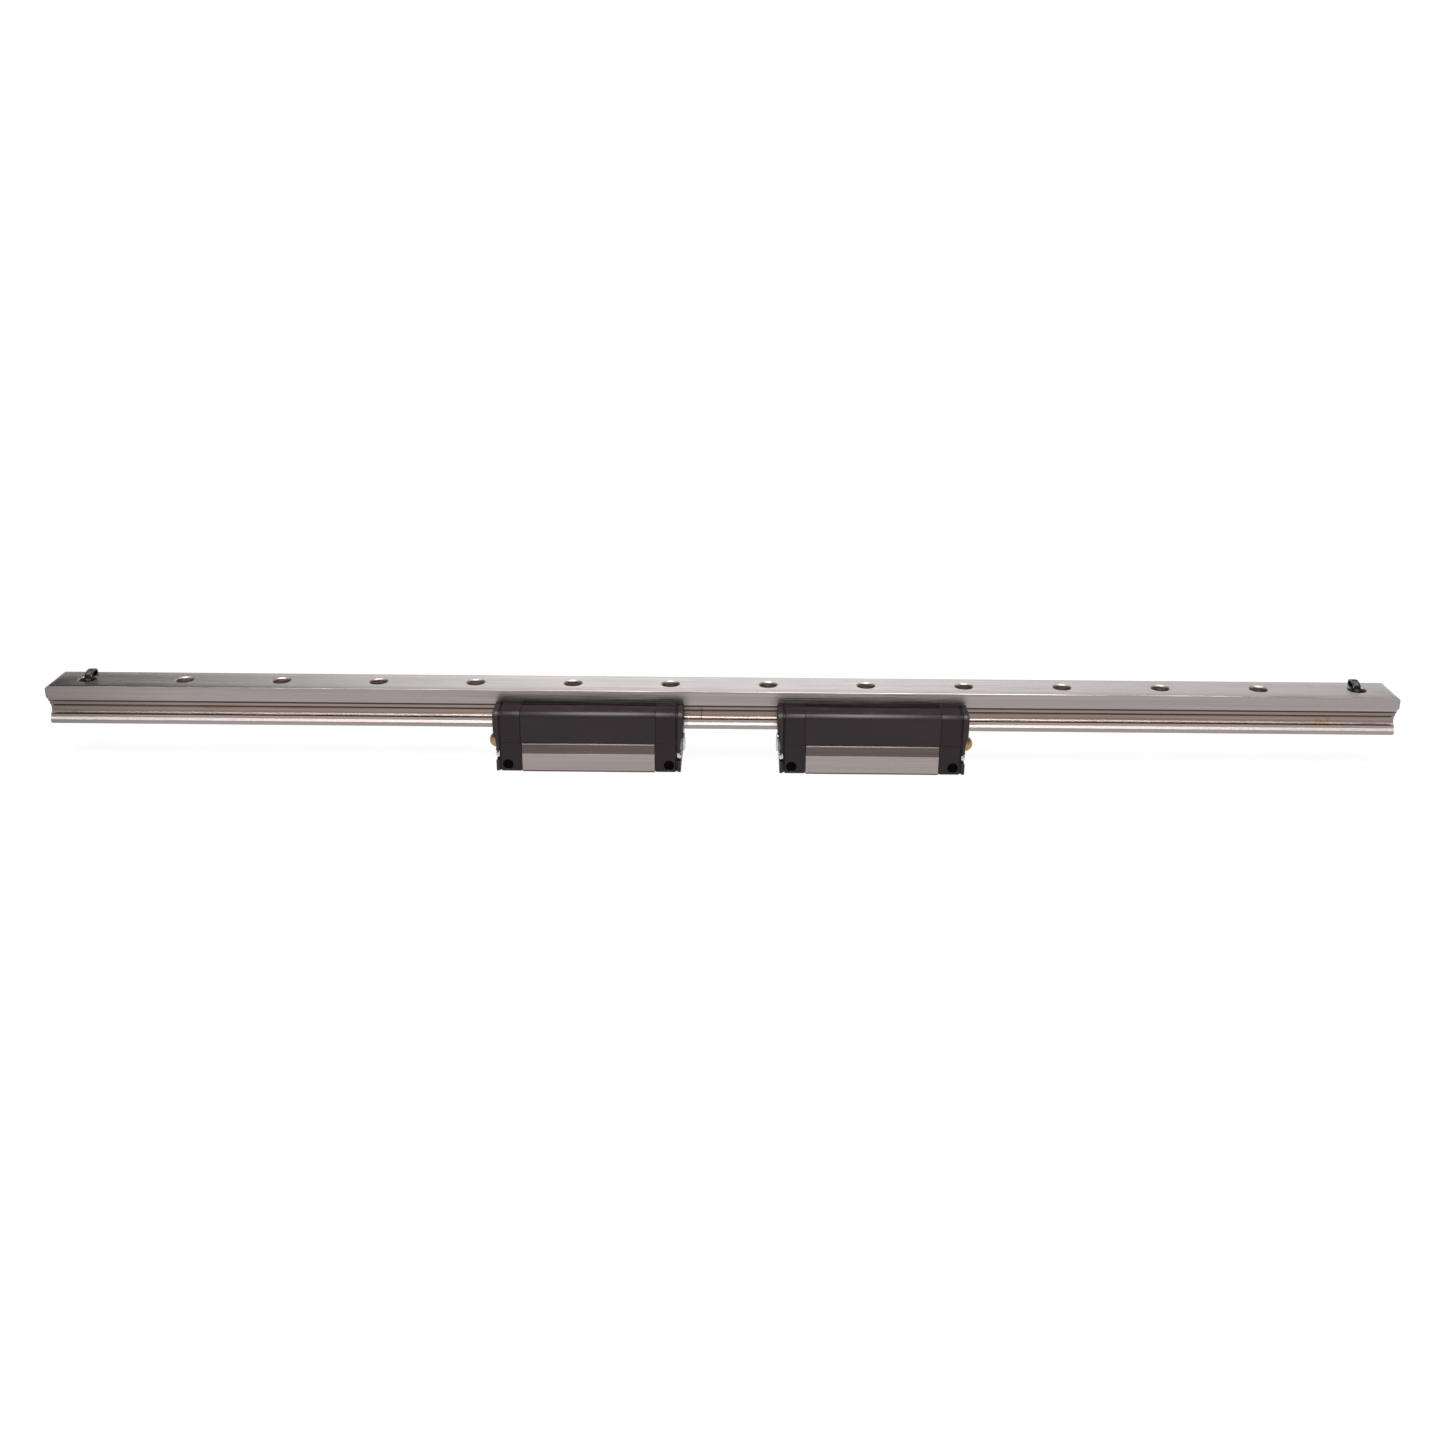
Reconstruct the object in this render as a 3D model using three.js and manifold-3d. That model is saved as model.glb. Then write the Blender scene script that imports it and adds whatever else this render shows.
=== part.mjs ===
// Profile rail linear guide: one rail with two carriages, lying with its base face up.
//
// Millimetres, +Z up.  X runs along the rail and Y runs across it.  The origin is the middle
// of the object at the height of the carriages' mounting faces, which are what it rests on.
// The rail hangs in the carriages, so its base face is the highest flat face of the object.

import * as THREE from 'three';
import { mergeVertices } from 'three/addons/utils/BufferGeometryUtils.js';
import Module from 'manifold-3d';

const wasm = await Module();
wasm.setup();

// ---------------------------------------------------------------- driving dimensions

const ASSEMBLY_HEIGHT = 47;          // carriage mounting face to rail base face
const FIT_GAP = 0.1;                 // air left between pieces that touch on the real guide

const RAIL_HOLES = 14;
const RAIL_PITCH = 60;
const RAIL_END = 22;                 // last hole to the end of the rail
const RAIL_LENGTH = (RAIL_HOLES - 1) * RAIL_PITCH + 2 * RAIL_END;
const RAIL_HALF_WIDTH = 14;
const RAIL_HEIGHT = 25;
const RAIL_FLANK = 8.55;             // height of the ground side face of the rail's base
const RAIL_EDGE = 0.8;
const RAIL_END_CHAMFER = 2.4;        // on the base's upper and lower end edges
const NECK_HALF_WIDTH = 10.2;
const NECK_START = 11.3;             // depth below the base face where the neck begins
const GROOVE_LIP_Y = 11;             // half width at the edge of the groove beside the head
const GROOVE_LIP = 20.2;             // depth below the base face
const HEAD_START = 21.6;             // depth below the base face
const HEAD_HALF_WIDTH = 12.2;
const BOLT_RADIUS = 5.3;
const BOLT_CHAMFER = 0.7;
const COUNTERBORE_RADIUS = 7;
const COUNTERBORE_DEPTH = 12;
const COUNTERBORE_CHAMFER = 0.6;

const BALL_RADIUS = 3.175;
const ROW_Y = 12;                    // centre of the loaded ball row, from the middle plane
const ROW_Z = ASSEMBLY_HEIGHT - 15.9;
const RACEWAY_RADIUS = 3.5;
const RETURN_Y = 21.9;
const TURN_RADIUS = (RETURN_Y - ROW_Y) / 2;

const CARRIAGE_HALF_WIDTH = 30;
const COVER_HALF_WIDTH = 29.6;
const LEG_HALF_WIDTH = 26.2;         // outer side of the steel leg behind the cover
const LEG_TOP = 36.6;
const LEG_INNER_Y = 13.6;            // inner side of the steel leg, facing the rail
const FLANK_RECESS = 0.45;           // rough band in the steel flank, and its two heights
const RECESS_BOTTOM = 12.2;
const RECESS_TOP = 18.2;
const CARRIAGE_TOP = 38.4;           // highest face of the plastic shell
const STEEL_SHOULDER = 19;           // height where the steel flank ends and the shell begins
const SHELL_CORNER = 4;
const BLOCK_HALF_LENGTH = 40.2;
const COVER_HALF_LENGTH = 41 - FIT_GAP;
const CAP_START = 41;
const CAP_END = 52.8;
const PLATE_THICKNESS = 0.8;
const PLATE_START = CAP_END + FIT_GAP;
const SEAL_START = PLATE_START + PLATE_THICKNESS + FIT_GAP;
const SEAL_END = 57.5;
const CAP_FLOOR = 0.5;               // the end pieces stay clear of the mounting surface

const MOUNT_HOLE_X = 20;
const MOUNT_HOLE_Y = 20;
const MOUNT_HOLE_RADIUS = 3.4;
const MOUNT_HOLE_DEPTH = 10;
const MOUNT_HOLE_CHAMFER = 0.6;
const DRILL_POINT = 1.8;

const PORT_Z = 9.5;                  // lubrication port in the middle of each end
const PORT_RADIUS = 3.2;
const SCREW_Y = 26.8;
const SCREW_Z = 10.8;
const SCREW_RADIUS = 1.2;
const SCREW_HEAD_RADIUS = 2.6;
const SCREW_CLEARANCE = 1.7;         // radius of the holes the screws pass through
const SCREW_PILOT = 1.4;             // radius of the threaded hole in the steel
const SCREW_PILOT_DEPTH = 8;
const NOTCH_RADIUS = 3.7;            // in the seal, round the screw head
const SEAL_FOOT_STEP = 1.5;          // how much thinner the seal is at its foot
const SIDE_PORT_X = 48.8;
const SIDE_PORT_Z = 4.9;
const SIDE_PORT_RADIUS = 2.8;
const SIDE_PORT_FACE = CARRIAGE_HALF_WIDTH - 0.2;
const SIDE_PLUG_DEPTH = 2.8;
const CAP_CLEARANCE = 0.9;           // air between the end cap and the sides of the rail
const PLATE_CLEARANCE = 1.1;
const WIPER_CLEARANCE = 0.5;
const COVER_INNER_Y = 15;            // edge of the cover beside the rail
const SIDE_SEAL_TOP = 37.6;
const SIDE_SEAL_OUTER_Y = 18.1;
const RETAINER_BOTTOM = 34.5;
const RETAINER_TOP = 35.8;
const BALLS_PER_CIRCUIT = 28;
const CAGE_RADIUS = 1;
const NIPPLE_STEM = 3;
const NIPPLE_FLANGE = 4;
const NIPPLE_DOME = 4.8;
const PLUG_STEM = 3;
const PLUG_HEAD = 6;
const PLUG_SOCKET = 2;

const TIE_WIDTH = 5;
const TIE_THICKNESS = 1.2;
const TIE_LEAN = 0.15;               // radians; the straps lean towards the rail ends
const TIE_LOCK = [7.5, 4.6, 6.5];
const TIE_TAIL = 9;

const LEFT_CARRIAGE_X = -78.7;
const RIGHT_CARRIAGE_X = 93.1;

// ---------------------------------------------------------------- materials

function standard(color, roughness, metalness) {
  return new THREE.MeshStandardMaterial({ color, roughness, metalness });
}

const railSteel = standard(0xb3aba6, 0.32, 1);
const blockSteel = standard(0xa39b95, 0.36, 1);
const ballSteel = standard(0xd4d6d9, 0.12, 1);
const plateSteel = standard(0x8d8f92, 0.35, 1);
const zinc = standard(0xcfd2d4, 0.25, 1);
const brass = standard(0xb98a3c, 0.28, 1);
const blackPlastic = standard(0x2b2a2d, 0.5, 0);
const sealRubber = standard(0x242326, 0.6, 0);
const palePlastic = standard(0xd8d4c8, 0.5, 0);
const tieNylon = standard(0x151515, 0.45, 0);

// ---------------------------------------------------------------- solids and cuts

function withoutFlatTriangles(geometry) {
  const kept = [];
  const index = geometry.index.array;
  for (let i = 0; i < index.length; i += 3) {
    const [a, b, c] = [index[i], index[i + 1], index[i + 2]];
    if (a !== b && b !== c && c !== a) kept.push(a, b, c);
  }
  geometry.setIndex(kept);
  return geometry;
}

function closed(geometry) {
  geometry.deleteAttribute('normal');
  geometry.deleteAttribute('uv');
  return withoutFlatTriangles(mergeVertices(geometry, 1e-4));
}

function solid(geometry) {
  const shell = closed(geometry);
  return new wasm.Manifold(new wasm.Mesh({
    numProp: 3,
    vertProperties: new Float32Array(shell.attributes.position.array),
    triVerts: new Uint32Array(shell.index.array),
  }));
}

function geometryOf(manifold) {
  const mesh = manifold.getMesh();
  const geometry = new THREE.BufferGeometry();
  geometry.setAttribute('position', new THREE.BufferAttribute(mesh.vertProperties, 3));
  geometry.setIndex(new THREE.BufferAttribute(mesh.triVerts, 1));
  geometry.computeVertexNormals();
  return geometry;
}

function cut(geometry, cutters) {
  let result = solid(geometry);
  for (const cutter of cutters) result = result.subtract(solid(cutter));
  return geometryOf(result);
}

function join(pieces) {
  let result = solid(pieces[0]);
  for (const piece of pieces.slice(1)) result = result.add(solid(piece));
  return geometryOf(result);
}

function common(first, second) {
  return geometryOf(solid(first).intersect(solid(second)));
}

// A Shape is drawn in Y (its x) and Z (its y), and runs along X from start to end.
function alongX(shape, start, end, curveSegments = 8) {
  const geometry = new THREE.ExtrudeGeometry(shape, {
    depth: end - start, bevelEnabled: false, curveSegments,
  });
  geometry.applyMatrix4(new THREE.Matrix4().makeBasis(
    new THREE.Vector3(0, 1, 0), new THREE.Vector3(0, 0, 1), new THREE.Vector3(1, 0, 0)));
  return geometry.translate(start, 0, 0);
}

// A Shape is drawn in Z (its x) and X (its y), and runs along Y from start to end.
function alongY(shape, start, end, curveSegments = 8) {
  const geometry = new THREE.ExtrudeGeometry(shape, {
    depth: end - start, bevelEnabled: false, curveSegments,
  });
  geometry.applyMatrix4(new THREE.Matrix4().makeBasis(
    new THREE.Vector3(0, 0, 1), new THREE.Vector3(1, 0, 0), new THREE.Vector3(0, 1, 0)));
  return geometry.translate(0, start, 0);
}

function rodAlongX(radius, start, end, y, z, sides = 16) {
  const rod = new THREE.CylinderGeometry(radius, radius, end - start, sides);
  return rod.rotateZ(-Math.PI / 2).translate((start + end) / 2, y, z);
}

function rodAlongY(radius, start, end, x, z, sides = 16) {
  const rod = new THREE.CylinderGeometry(radius, radius, end - start, sides);
  return rod.translate(x, (start + end) / 2, z);
}

// A turned piece on an axis along X; the profile is a list of [distance along X, radius].
function turnedAlongX(profile, y, z, sides = 16) {
  const points = profile.map(([along, radius]) => new THREE.Vector2(radius, along));
  return new THREE.LatheGeometry(points, sides).rotateZ(-Math.PI / 2).translate(0, y, z);
}

function turnedAlongZ(profile, x, y, sides = 16) {
  const points = profile.map(([along, radius]) => new THREE.Vector2(radius, along));
  return new THREE.LatheGeometry(points, sides).rotateX(Math.PI / 2).translate(x, y, 0);
}

function shapeFrom(points) {
  return new THREE.Shape(points.map(([x, y]) => new THREE.Vector2(x, y)));
}

// Both halves of an outline that is symmetric about the middle plane.
function mirrored(half) {
  const other = half.map(([y, z]) => [-y, z]).reverse();
  return shapeFrom([...half, ...other]);
}

function named(name, geometry, material) {
  const mesh = new THREE.Mesh(geometry, material);
  mesh.name = name;
  return mesh;
}

// ---------------------------------------------------------------- rail

function below(depth) {
  return ASSEMBLY_HEIGHT - depth;
}

// Points of the ball groove, from its edge near the base to its edge near the head.
function grooveArc(nearBaseY, nearHeadY, shift, steps = 8) {
  const first = Math.acos((nearBaseY - ROW_Y) / RACEWAY_RADIUS);
  const last = 2 * Math.PI - Math.acos((nearHeadY - ROW_Y) / RACEWAY_RADIUS);
  const points = [];
  for (let i = 0; i <= steps; i += 1) {
    const angle = first + (last - first) * i / steps;
    const y = ROW_Y + RACEWAY_RADIUS * Math.cos(angle) + shift;
    points.push([y, ROW_Z + RACEWAY_RADIUS * Math.sin(angle)]);
  }
  return points;
}

// One half of the rail's section from the base down to the head, grown by gap on all sides.
function railFlank(gap) {
  return [
    [RAIL_HALF_WIDTH + gap, below(RAIL_FLANK)],
    [NECK_HALF_WIDTH + gap, below(NECK_START)],
    ...grooveArc(NECK_HALF_WIDTH, GROOVE_LIP_Y, gap),
    [GROOVE_LIP_Y + gap, below(GROOVE_LIP)],
    [HEAD_HALF_WIDTH + gap, below(HEAD_START)],
    [HEAD_HALF_WIDTH + gap, below(RAIL_HEIGHT - RAIL_EDGE)],
    [HEAD_HALF_WIDTH - RAIL_EDGE + gap, below(RAIL_HEIGHT) - gap],
  ];
}

function railHoleCutter(x) {
  const head = below(RAIL_HEIGHT);
  const step = head + COUNTERBORE_DEPTH;
  const wide = COUNTERBORE_RADIUS + COUNTERBORE_CHAMFER;
  const mouth = BOLT_RADIUS + BOLT_CHAMFER;
  return turnedAlongZ([
    [head - 1, 0], [head - 1, wide], [head, wide],
    [head + COUNTERBORE_CHAMFER, COUNTERBORE_RADIUS], [step, COUNTERBORE_RADIUS],
    [step, BOLT_RADIUS], [ASSEMBLY_HEIGHT - BOLT_CHAMFER, BOLT_RADIUS],
    [ASSEMBLY_HEIGHT, mouth], [ASSEMBLY_HEIGHT + 1, mouth], [ASSEMBLY_HEIGHT + 1, 0],
  ], x, 0, 12);
}

// The two wedges that chamfer the base at one end of the rail (end is 1 or -1).
function railEndCutters(end) {
  const tip = RAIL_LENGTH / 2 + 0.1;
  const inside = RAIL_LENGTH / 2 - RAIL_END_CHAMFER;
  const top = ASSEMBLY_HEIGHT + 0.1;
  const bottom = below(RAIL_FLANK);
  const upper = [[top, inside - 0.1], [top - RAIL_END_CHAMFER - 0.2, tip], [top, tip]];
  const lower = [[bottom, inside], [bottom, tip], [bottom + RAIL_END_CHAMFER + 0.1, tip]];
  return [upper, lower].map((corners) => alongY(
    shapeFrom(corners.map(([z, x]) => [z, end * x])), -RAIL_HALF_WIDTH - 1, RAIL_HALF_WIDTH + 1));
}

function railGeometry() {
  const section = mirrored([
    [RAIL_HALF_WIDTH - RAIL_EDGE, ASSEMBLY_HEIGHT],
    [RAIL_HALF_WIDTH, below(RAIL_EDGE)],
    ...railFlank(0),
  ]);
  const holes = [];
  for (let i = 0; i < RAIL_HOLES; i += 1) {
    holes.push(railHoleCutter(-RAIL_LENGTH / 2 + RAIL_END + i * RAIL_PITCH));
  }
  const bar = alongX(section, -RAIL_LENGTH / 2, RAIL_LENGTH / 2);
  return cut(bar, [...holes, ...railEndCutters(-1), ...railEndCutters(1)]);
}

// ---------------------------------------------------------------- cable ties

// Middle line of the strap in Y and Z: up through the end hole and round the rear flank.
const TIE_LOOP = [
  [0.5, 24], [0.5, 35], [0.3, 45], [1.6, 48.3], [6, 49.3], [11, 49.2], [14.8, 48.1],
  [15.8, 45], [15.6, 37], [15.6, 29], [15.4, 22], [12.6, 20.4], [7, 20], [2.4, 20.6],
];

function strapLoop() {
  const curve = new THREE.CatmullRomCurve3(
    TIE_LOOP.map(([y, z]) => new THREE.Vector3(0, y, z)), true);
  const steps = 40;
  const outer = [];
  const inner = [];
  for (let i = 0; i < steps; i += 1) {
    const point = curve.getPoint(i / steps);
    const tangent = curve.getTangent(i / steps);
    const side = TIE_THICKNESS / 2;
    outer.push([point.y - tangent.z * side, point.z + tangent.y * side]);
    inner.push([point.y + tangent.z * side, point.z - tangent.y * side]);
  }
  const shape = shapeFrom(outer);
  shape.holes.push(shapeFrom(inner.reverse()));
  return alongX(shape, -TIE_WIDTH / 2, TIE_WIDTH / 2);
}

function cableTieGeometry() {
  const lock = new THREE.BoxGeometry(...TIE_LOCK).translate(0, 18, 30);
  const tail = new THREE.BoxGeometry(TIE_WIDTH, TIE_THICKNESS, TIE_TAIL).translate(0, 18.4, 24);
  return join([strapLoop(), lock, tail]);
}

// ---------------------------------------------------------------- carriage block

function blockSection() {
  const lip = LEG_INNER_Y;
  const edge = 0.8;
  const reach = Math.sqrt(RACEWAY_RADIUS ** 2 - (lip - ROW_Y) ** 2);
  const half = [
    [CARRIAGE_HALF_WIDTH - edge, 0], [CARRIAGE_HALF_WIDTH, edge],
    [CARRIAGE_HALF_WIDTH, RECESS_BOTTOM],
    [CARRIAGE_HALF_WIDTH - FLANK_RECESS, RECESS_BOTTOM + 0.3],
    [CARRIAGE_HALF_WIDTH - FLANK_RECESS, RECESS_TOP - 0.3], [CARRIAGE_HALF_WIDTH, RECESS_TOP],
    [CARRIAGE_HALF_WIDTH - edge, STEEL_SHOULDER], [LEG_HALF_WIDTH, STEEL_SHOULDER],
    [LEG_HALF_WIDTH, LEG_TOP - edge], [LEG_HALF_WIDTH - edge, LEG_TOP],
    [lip + edge, LEG_TOP], [lip, LEG_TOP - edge], [lip, ROW_Z + reach],
  ];
  const steps = 8;
  const start = Math.atan2(reach, lip - ROW_Y);
  for (let i = 1; i < steps; i += 1) {
    const angle = start - 2 * start * i / steps;
    half.push([ROW_Y + RACEWAY_RADIUS * Math.cos(angle), ROW_Z + RACEWAY_RADIUS * Math.sin(angle)]);
  }
  half.push([lip, ROW_Z - reach], [lip, 21.2], [12.6, 20.2]);
  return mirrored(half);
}

function blockGeometry() {
  const cutters = [];
  for (const side of [-1, 1]) {
    cutters.push(rodAlongX(RACEWAY_RADIUS, -60, 60, side * RETURN_Y, ROW_Z));
    for (const end of [-1, 1]) {
      cutters.push(turnedAlongZ([
        [-1, 0], [-1, MOUNT_HOLE_RADIUS + MOUNT_HOLE_CHAMFER],
        [0, MOUNT_HOLE_RADIUS + MOUNT_HOLE_CHAMFER], [MOUNT_HOLE_CHAMFER, MOUNT_HOLE_RADIUS],
        [MOUNT_HOLE_DEPTH, MOUNT_HOLE_RADIUS], [MOUNT_HOLE_DEPTH + DRILL_POINT, 0],
      ], end * MOUNT_HOLE_X, side * MOUNT_HOLE_Y, 12));
      const mouth = end * (BLOCK_HALF_LENGTH + 1);
      const bottom = end * (BLOCK_HALF_LENGTH - SCREW_PILOT_DEPTH);
      cutters.push(rodAlongX(SCREW_PILOT, Math.min(mouth, bottom), Math.max(mouth, bottom),
        side * SCREW_Y, SCREW_Z, 8));
    }
  }
  return cut(alongX(blockSection(), -BLOCK_HALF_LENGTH, BLOCK_HALF_LENGTH), cutters);
}

// ---------------------------------------------------------------- plastic shell

// Outer outline of the end pieces: flat bottom, rounded corners beside the rail.
function endOutline(inset) {
  const side = CARRIAGE_HALF_WIDTH - 0.1 - inset;
  const top = CARRIAGE_TOP - inset;
  const floor = CAP_FLOOR + inset;
  const radius = SHELL_CORNER - inset;
  const shape = new THREE.Shape();
  shape.moveTo(-side + 0.6, floor);
  shape.lineTo(side - 0.6, floor);
  shape.lineTo(side, floor + 0.6);
  shape.lineTo(side, top - radius);
  shape.absarc(side - radius, top - radius, radius, 0, Math.PI / 2, false);
  shape.lineTo(-side + radius, top);
  shape.absarc(-side + radius, top - radius, radius, Math.PI / 2, Math.PI, false);
  shape.lineTo(-side, floor + 0.6);
  return shape;
}

// Clearance round the rail in the end caps, open upwards.
function capOpening() {
  const flank = RAIL_HALF_WIDTH + CAP_CLEARANCE;
  const neck = NECK_HALF_WIDTH + 1.4;
  const head = HEAD_HALF_WIDTH + 1;
  const floor = below(RAIL_HEIGHT) - 0.8;
  return mirrored([
    [flank, 60], [flank, 38.2], [neck, 36.4], [neck, 27.6], [head, 25.8],
    [head, floor + 0.6], [head - 0.6, floor],
  ]);
}

// Clearance round the rail in the seals and their plates, following the rail's own section.
function wiperOpening(gap) {
  return mirrored([[RAIL_HALF_WIDTH + gap, 60], ...railFlank(gap)]);
}

function turnChannel(side) {
  const ring = new THREE.TorusGeometry(TURN_RADIUS, RACEWAY_RADIUS, 8, 14);
  return ring.translate(CAP_START, side * (ROW_Y + RETURN_Y) / 2, ROW_Z);
}

function endCapGeometry() {
  const body = alongX(endOutline(0), CAP_START, CAP_END);
  const skirtHeight = STEEL_SHOULDER - 1.2;
  const skirt = new THREE.BoxGeometry(1, 2 * CARRIAGE_HALF_WIDTH - 0.2, skirtHeight);
  skirt.translate(BLOCK_HALF_LENGTH + FIT_GAP + 0.5, 0, CAP_FLOOR + 0.2 + skirtHeight / 2);
  const cutters = [alongX(capOpening(), 30, 60), rodAlongX(PORT_RADIUS, 30, 60, 0, PORT_Z)];
  for (const side of [-1, 1]) {
    cutters.push(turnChannel(side));
    cutters.push(rodAlongX(SCREW_CLEARANCE, 30, 60, side * SCREW_Y, SCREW_Z, 10));
    const mouth = side * (CARRIAGE_HALF_WIDTH + 1);
    const bottom = side * (SIDE_PORT_FACE - SIDE_PLUG_DEPTH - 0.4);
    cutters.push(rodAlongY(SIDE_PORT_RADIUS + 0.15, Math.min(mouth, bottom),
      Math.max(mouth, bottom), SIDE_PORT_X, SIDE_PORT_Z, 12));
  }
  return cut(join([body, skirt]), cutters);
}

function screwNotches() {
  return [-1, 1].map((side) => rodAlongX(
    NOTCH_RADIUS, 50, 60, side * (SCREW_Y + 0.5), SCREW_Z, 12));
}

function backingPlateGeometry() {
  const outline = endOutline(1.2);
  const plate = alongX(outline, PLATE_START, PLATE_START + PLATE_THICKNESS, 4);
  const port = rodAlongX(PORT_RADIUS, 50, 60, 0, PORT_Z);
  const holes = [alongX(wiperOpening(PLATE_CLEARANCE), 50, 60), port];
  for (const side of [-1, 1]) {
    holes.push(rodAlongX(SCREW_CLEARANCE, 50, 60, side * SCREW_Y, SCREW_Z, 10));
  }
  return cut(plate, holes);
}

// Seen from the side the seal is thickest beside the rail, dips beside the port and is
// thinner at the foot.
function sealThickness() {
  const shape = new THREE.Shape();
  shape.moveTo(CAP_FLOOR - 1, SEAL_START);
  shape.lineTo(CARRIAGE_TOP + 1, SEAL_START);
  shape.lineTo(CARRIAGE_TOP + 1, SEAL_END);
  shape.lineTo(26, SEAL_END);
  const foot = SEAL_END - SEAL_FOOT_STEP;
  shape.bezierCurveTo(23, SEAL_END, 24, foot, 20, foot);
  shape.lineTo(CAP_FLOOR - 1, foot);
  return shape;
}

function endSealGeometry() {
  const outline = alongX(endOutline(0), SEAL_START, SEAL_END, 4);
  const thickness = alongY(sealThickness(), -40, 40, 6);
  const port = rodAlongX(PORT_RADIUS, 50, 60, 0, PORT_Z);
  const opening = alongX(wiperOpening(WIPER_CLEARANCE), 50, 60);
  return cut(common(outline, thickness), [opening, port, ...screwNotches()]);
}

function sideCoverGeometry() {
  const skin = LEG_HALF_WIDTH + 2 * FIT_GAP;
  const foot = STEEL_SHOULDER + 2 * FIT_GAP;
  const roof = LEG_TOP + 2 * FIT_GAP;
  const rim = SIDE_SEAL_TOP + 0.15;
  const ledge = SIDE_SEAL_OUTER_Y + 0.2;
  const shape = new THREE.Shape();
  shape.moveTo(skin, foot);
  shape.lineTo(COVER_HALF_WIDTH, foot);
  shape.lineTo(COVER_HALF_WIDTH, CARRIAGE_TOP - SHELL_CORNER);
  shape.absarc(COVER_HALF_WIDTH - SHELL_CORNER, CARRIAGE_TOP - SHELL_CORNER,
    SHELL_CORNER, 0, Math.PI / 2, false);
  shape.lineTo(COVER_INNER_Y, CARRIAGE_TOP);
  shape.lineTo(COVER_INNER_Y, rim);
  shape.lineTo(ledge, rim);
  shape.lineTo(ledge, roof);
  shape.lineTo(skin, roof);
  return alongX(shape, -COVER_HALF_LENGTH, COVER_HALF_LENGTH);
}

function sideSealGeometry() {
  const foot = LEG_TOP + 0.15;
  const lip = RAIL_HALF_WIDTH - 0.8;
  const section = shapeFrom([
    [lip - 0.3, SIDE_SEAL_TOP - 0.3], [lip + 1, foot], [SIDE_SEAL_OUTER_Y, foot],
    [SIDE_SEAL_OUTER_Y, SIDE_SEAL_TOP], [lip, SIDE_SEAL_TOP],
  ]);
  return alongX(section, -COVER_HALF_LENGTH, COVER_HALF_LENGTH);
}

function ballRetainerGeometry() {
  const inner = NECK_HALF_WIDTH + 0.7;
  const outer = LEG_INNER_Y - 0.3;
  const section = shapeFrom([
    [inner, RETAINER_BOTTOM], [outer, RETAINER_BOTTOM], [outer, RETAINER_TOP], [inner, RETAINER_TOP],
  ]);
  return alongX(section, -COVER_HALF_LENGTH, COVER_HALF_LENGTH);
}

// ---------------------------------------------------------------- ball circuit

// A closed string of balls linked by their cage: a section whose radius swells at each ball.
function ballChainGeometry() {
  const straight = 2 * CAP_START;
  const turn = Math.PI * TURN_RADIUS;
  const length = 2 * (straight + turn);
  const sides = 6;
  const rings = BALLS_PER_CIRCUIT * 2;
  const middleY = (ROW_Y + RETURN_Y) / 2;
  const positions = [];
  for (let i = 0; i < rings; i += 1) {
    let s = length * i / rings;
    let sign = 1;
    if (s > length / 2) {
      s -= length / 2;
      sign = -1;
    }
    const angle = Math.max(0, s - straight) / TURN_RADIUS;
    const x = Math.min(s, straight) - CAP_START;
    const centre = new THREE.Vector2(
      sign * (x + TURN_RADIUS * Math.sin(angle)),
      middleY - sign * TURN_RADIUS * Math.cos(angle));
    const outward = new THREE.Vector2(sign * Math.sin(angle), -sign * Math.cos(angle));
    const radius = i % 2 === 0 ? BALL_RADIUS : CAGE_RADIUS;
    for (let j = 0; j < sides; j += 1) {
      const around = 2 * Math.PI * j / sides;
      positions.push(
        centre.x + outward.x * radius * Math.cos(around),
        centre.y + outward.y * radius * Math.cos(around),
        ROW_Z + radius * Math.sin(around));
    }
  }
  const index = [];
  for (let i = 0; i < rings; i += 1) {
    const next = (i + 1) % rings;
    for (let j = 0; j < sides; j += 1) {
      const beside = (j + 1) % sides;
      const [a, b] = [i * sides + j, i * sides + beside];
      const [c, d] = [next * sides + j, next * sides + beside];
      index.push(a, c, b, b, c, d);
    }
  }
  const geometry = new THREE.BufferGeometry();
  geometry.setAttribute('position', new THREE.Float32BufferAttribute(positions, 3));
  geometry.setIndex(index);
  geometry.computeVertexNormals();
  return geometry;
}

// ---------------------------------------------------------------- small fittings

function greaseNippleGeometry() {
  const tip = CAP_START + 3;
  const shoulder = SEAL_END + 1.6;
  const profile = [
    [tip, 0], [tip, NIPPLE_STEM - 0.4], [tip + 0.6, NIPPLE_STEM], [SEAL_END, NIPPLE_STEM],
    [SEAL_END, NIPPLE_FLANGE], [shoulder, NIPPLE_FLANGE],
  ];
  for (let i = 0; i <= 5; i += 1) {
    const angle = Math.PI / 2 * i / 5 * 0.86;
    const out = shoulder + NIPPLE_DOME * Math.sin(angle) + 0.4;
    profile.push([out, NIPPLE_DOME * Math.cos(angle)]);
  }
  profile.push([shoulder + 5, 0]);
  return turnedAlongX(profile, 0, PORT_Z, 12);
}

function portPlugGeometry() {
  const tip = CAP_START + 5;
  const seat = SEAL_END - 1.4;
  const profile = [
    [tip, 0], [tip, PLUG_STEM - 0.4], [tip + 0.6, PLUG_STEM], [seat, PLUG_STEM],
    [seat, PLUG_HEAD], [seat + 0.9, PLUG_HEAD], [seat + 1.5, PLUG_HEAD - 0.8],
    [seat + 1.5, PLUG_SOCKET + 0.1], [seat - 2, PLUG_SOCKET], [seat - 2.6, 0],
  ];
  return turnedAlongX(profile, 0, PORT_Z, 12);
}

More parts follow.
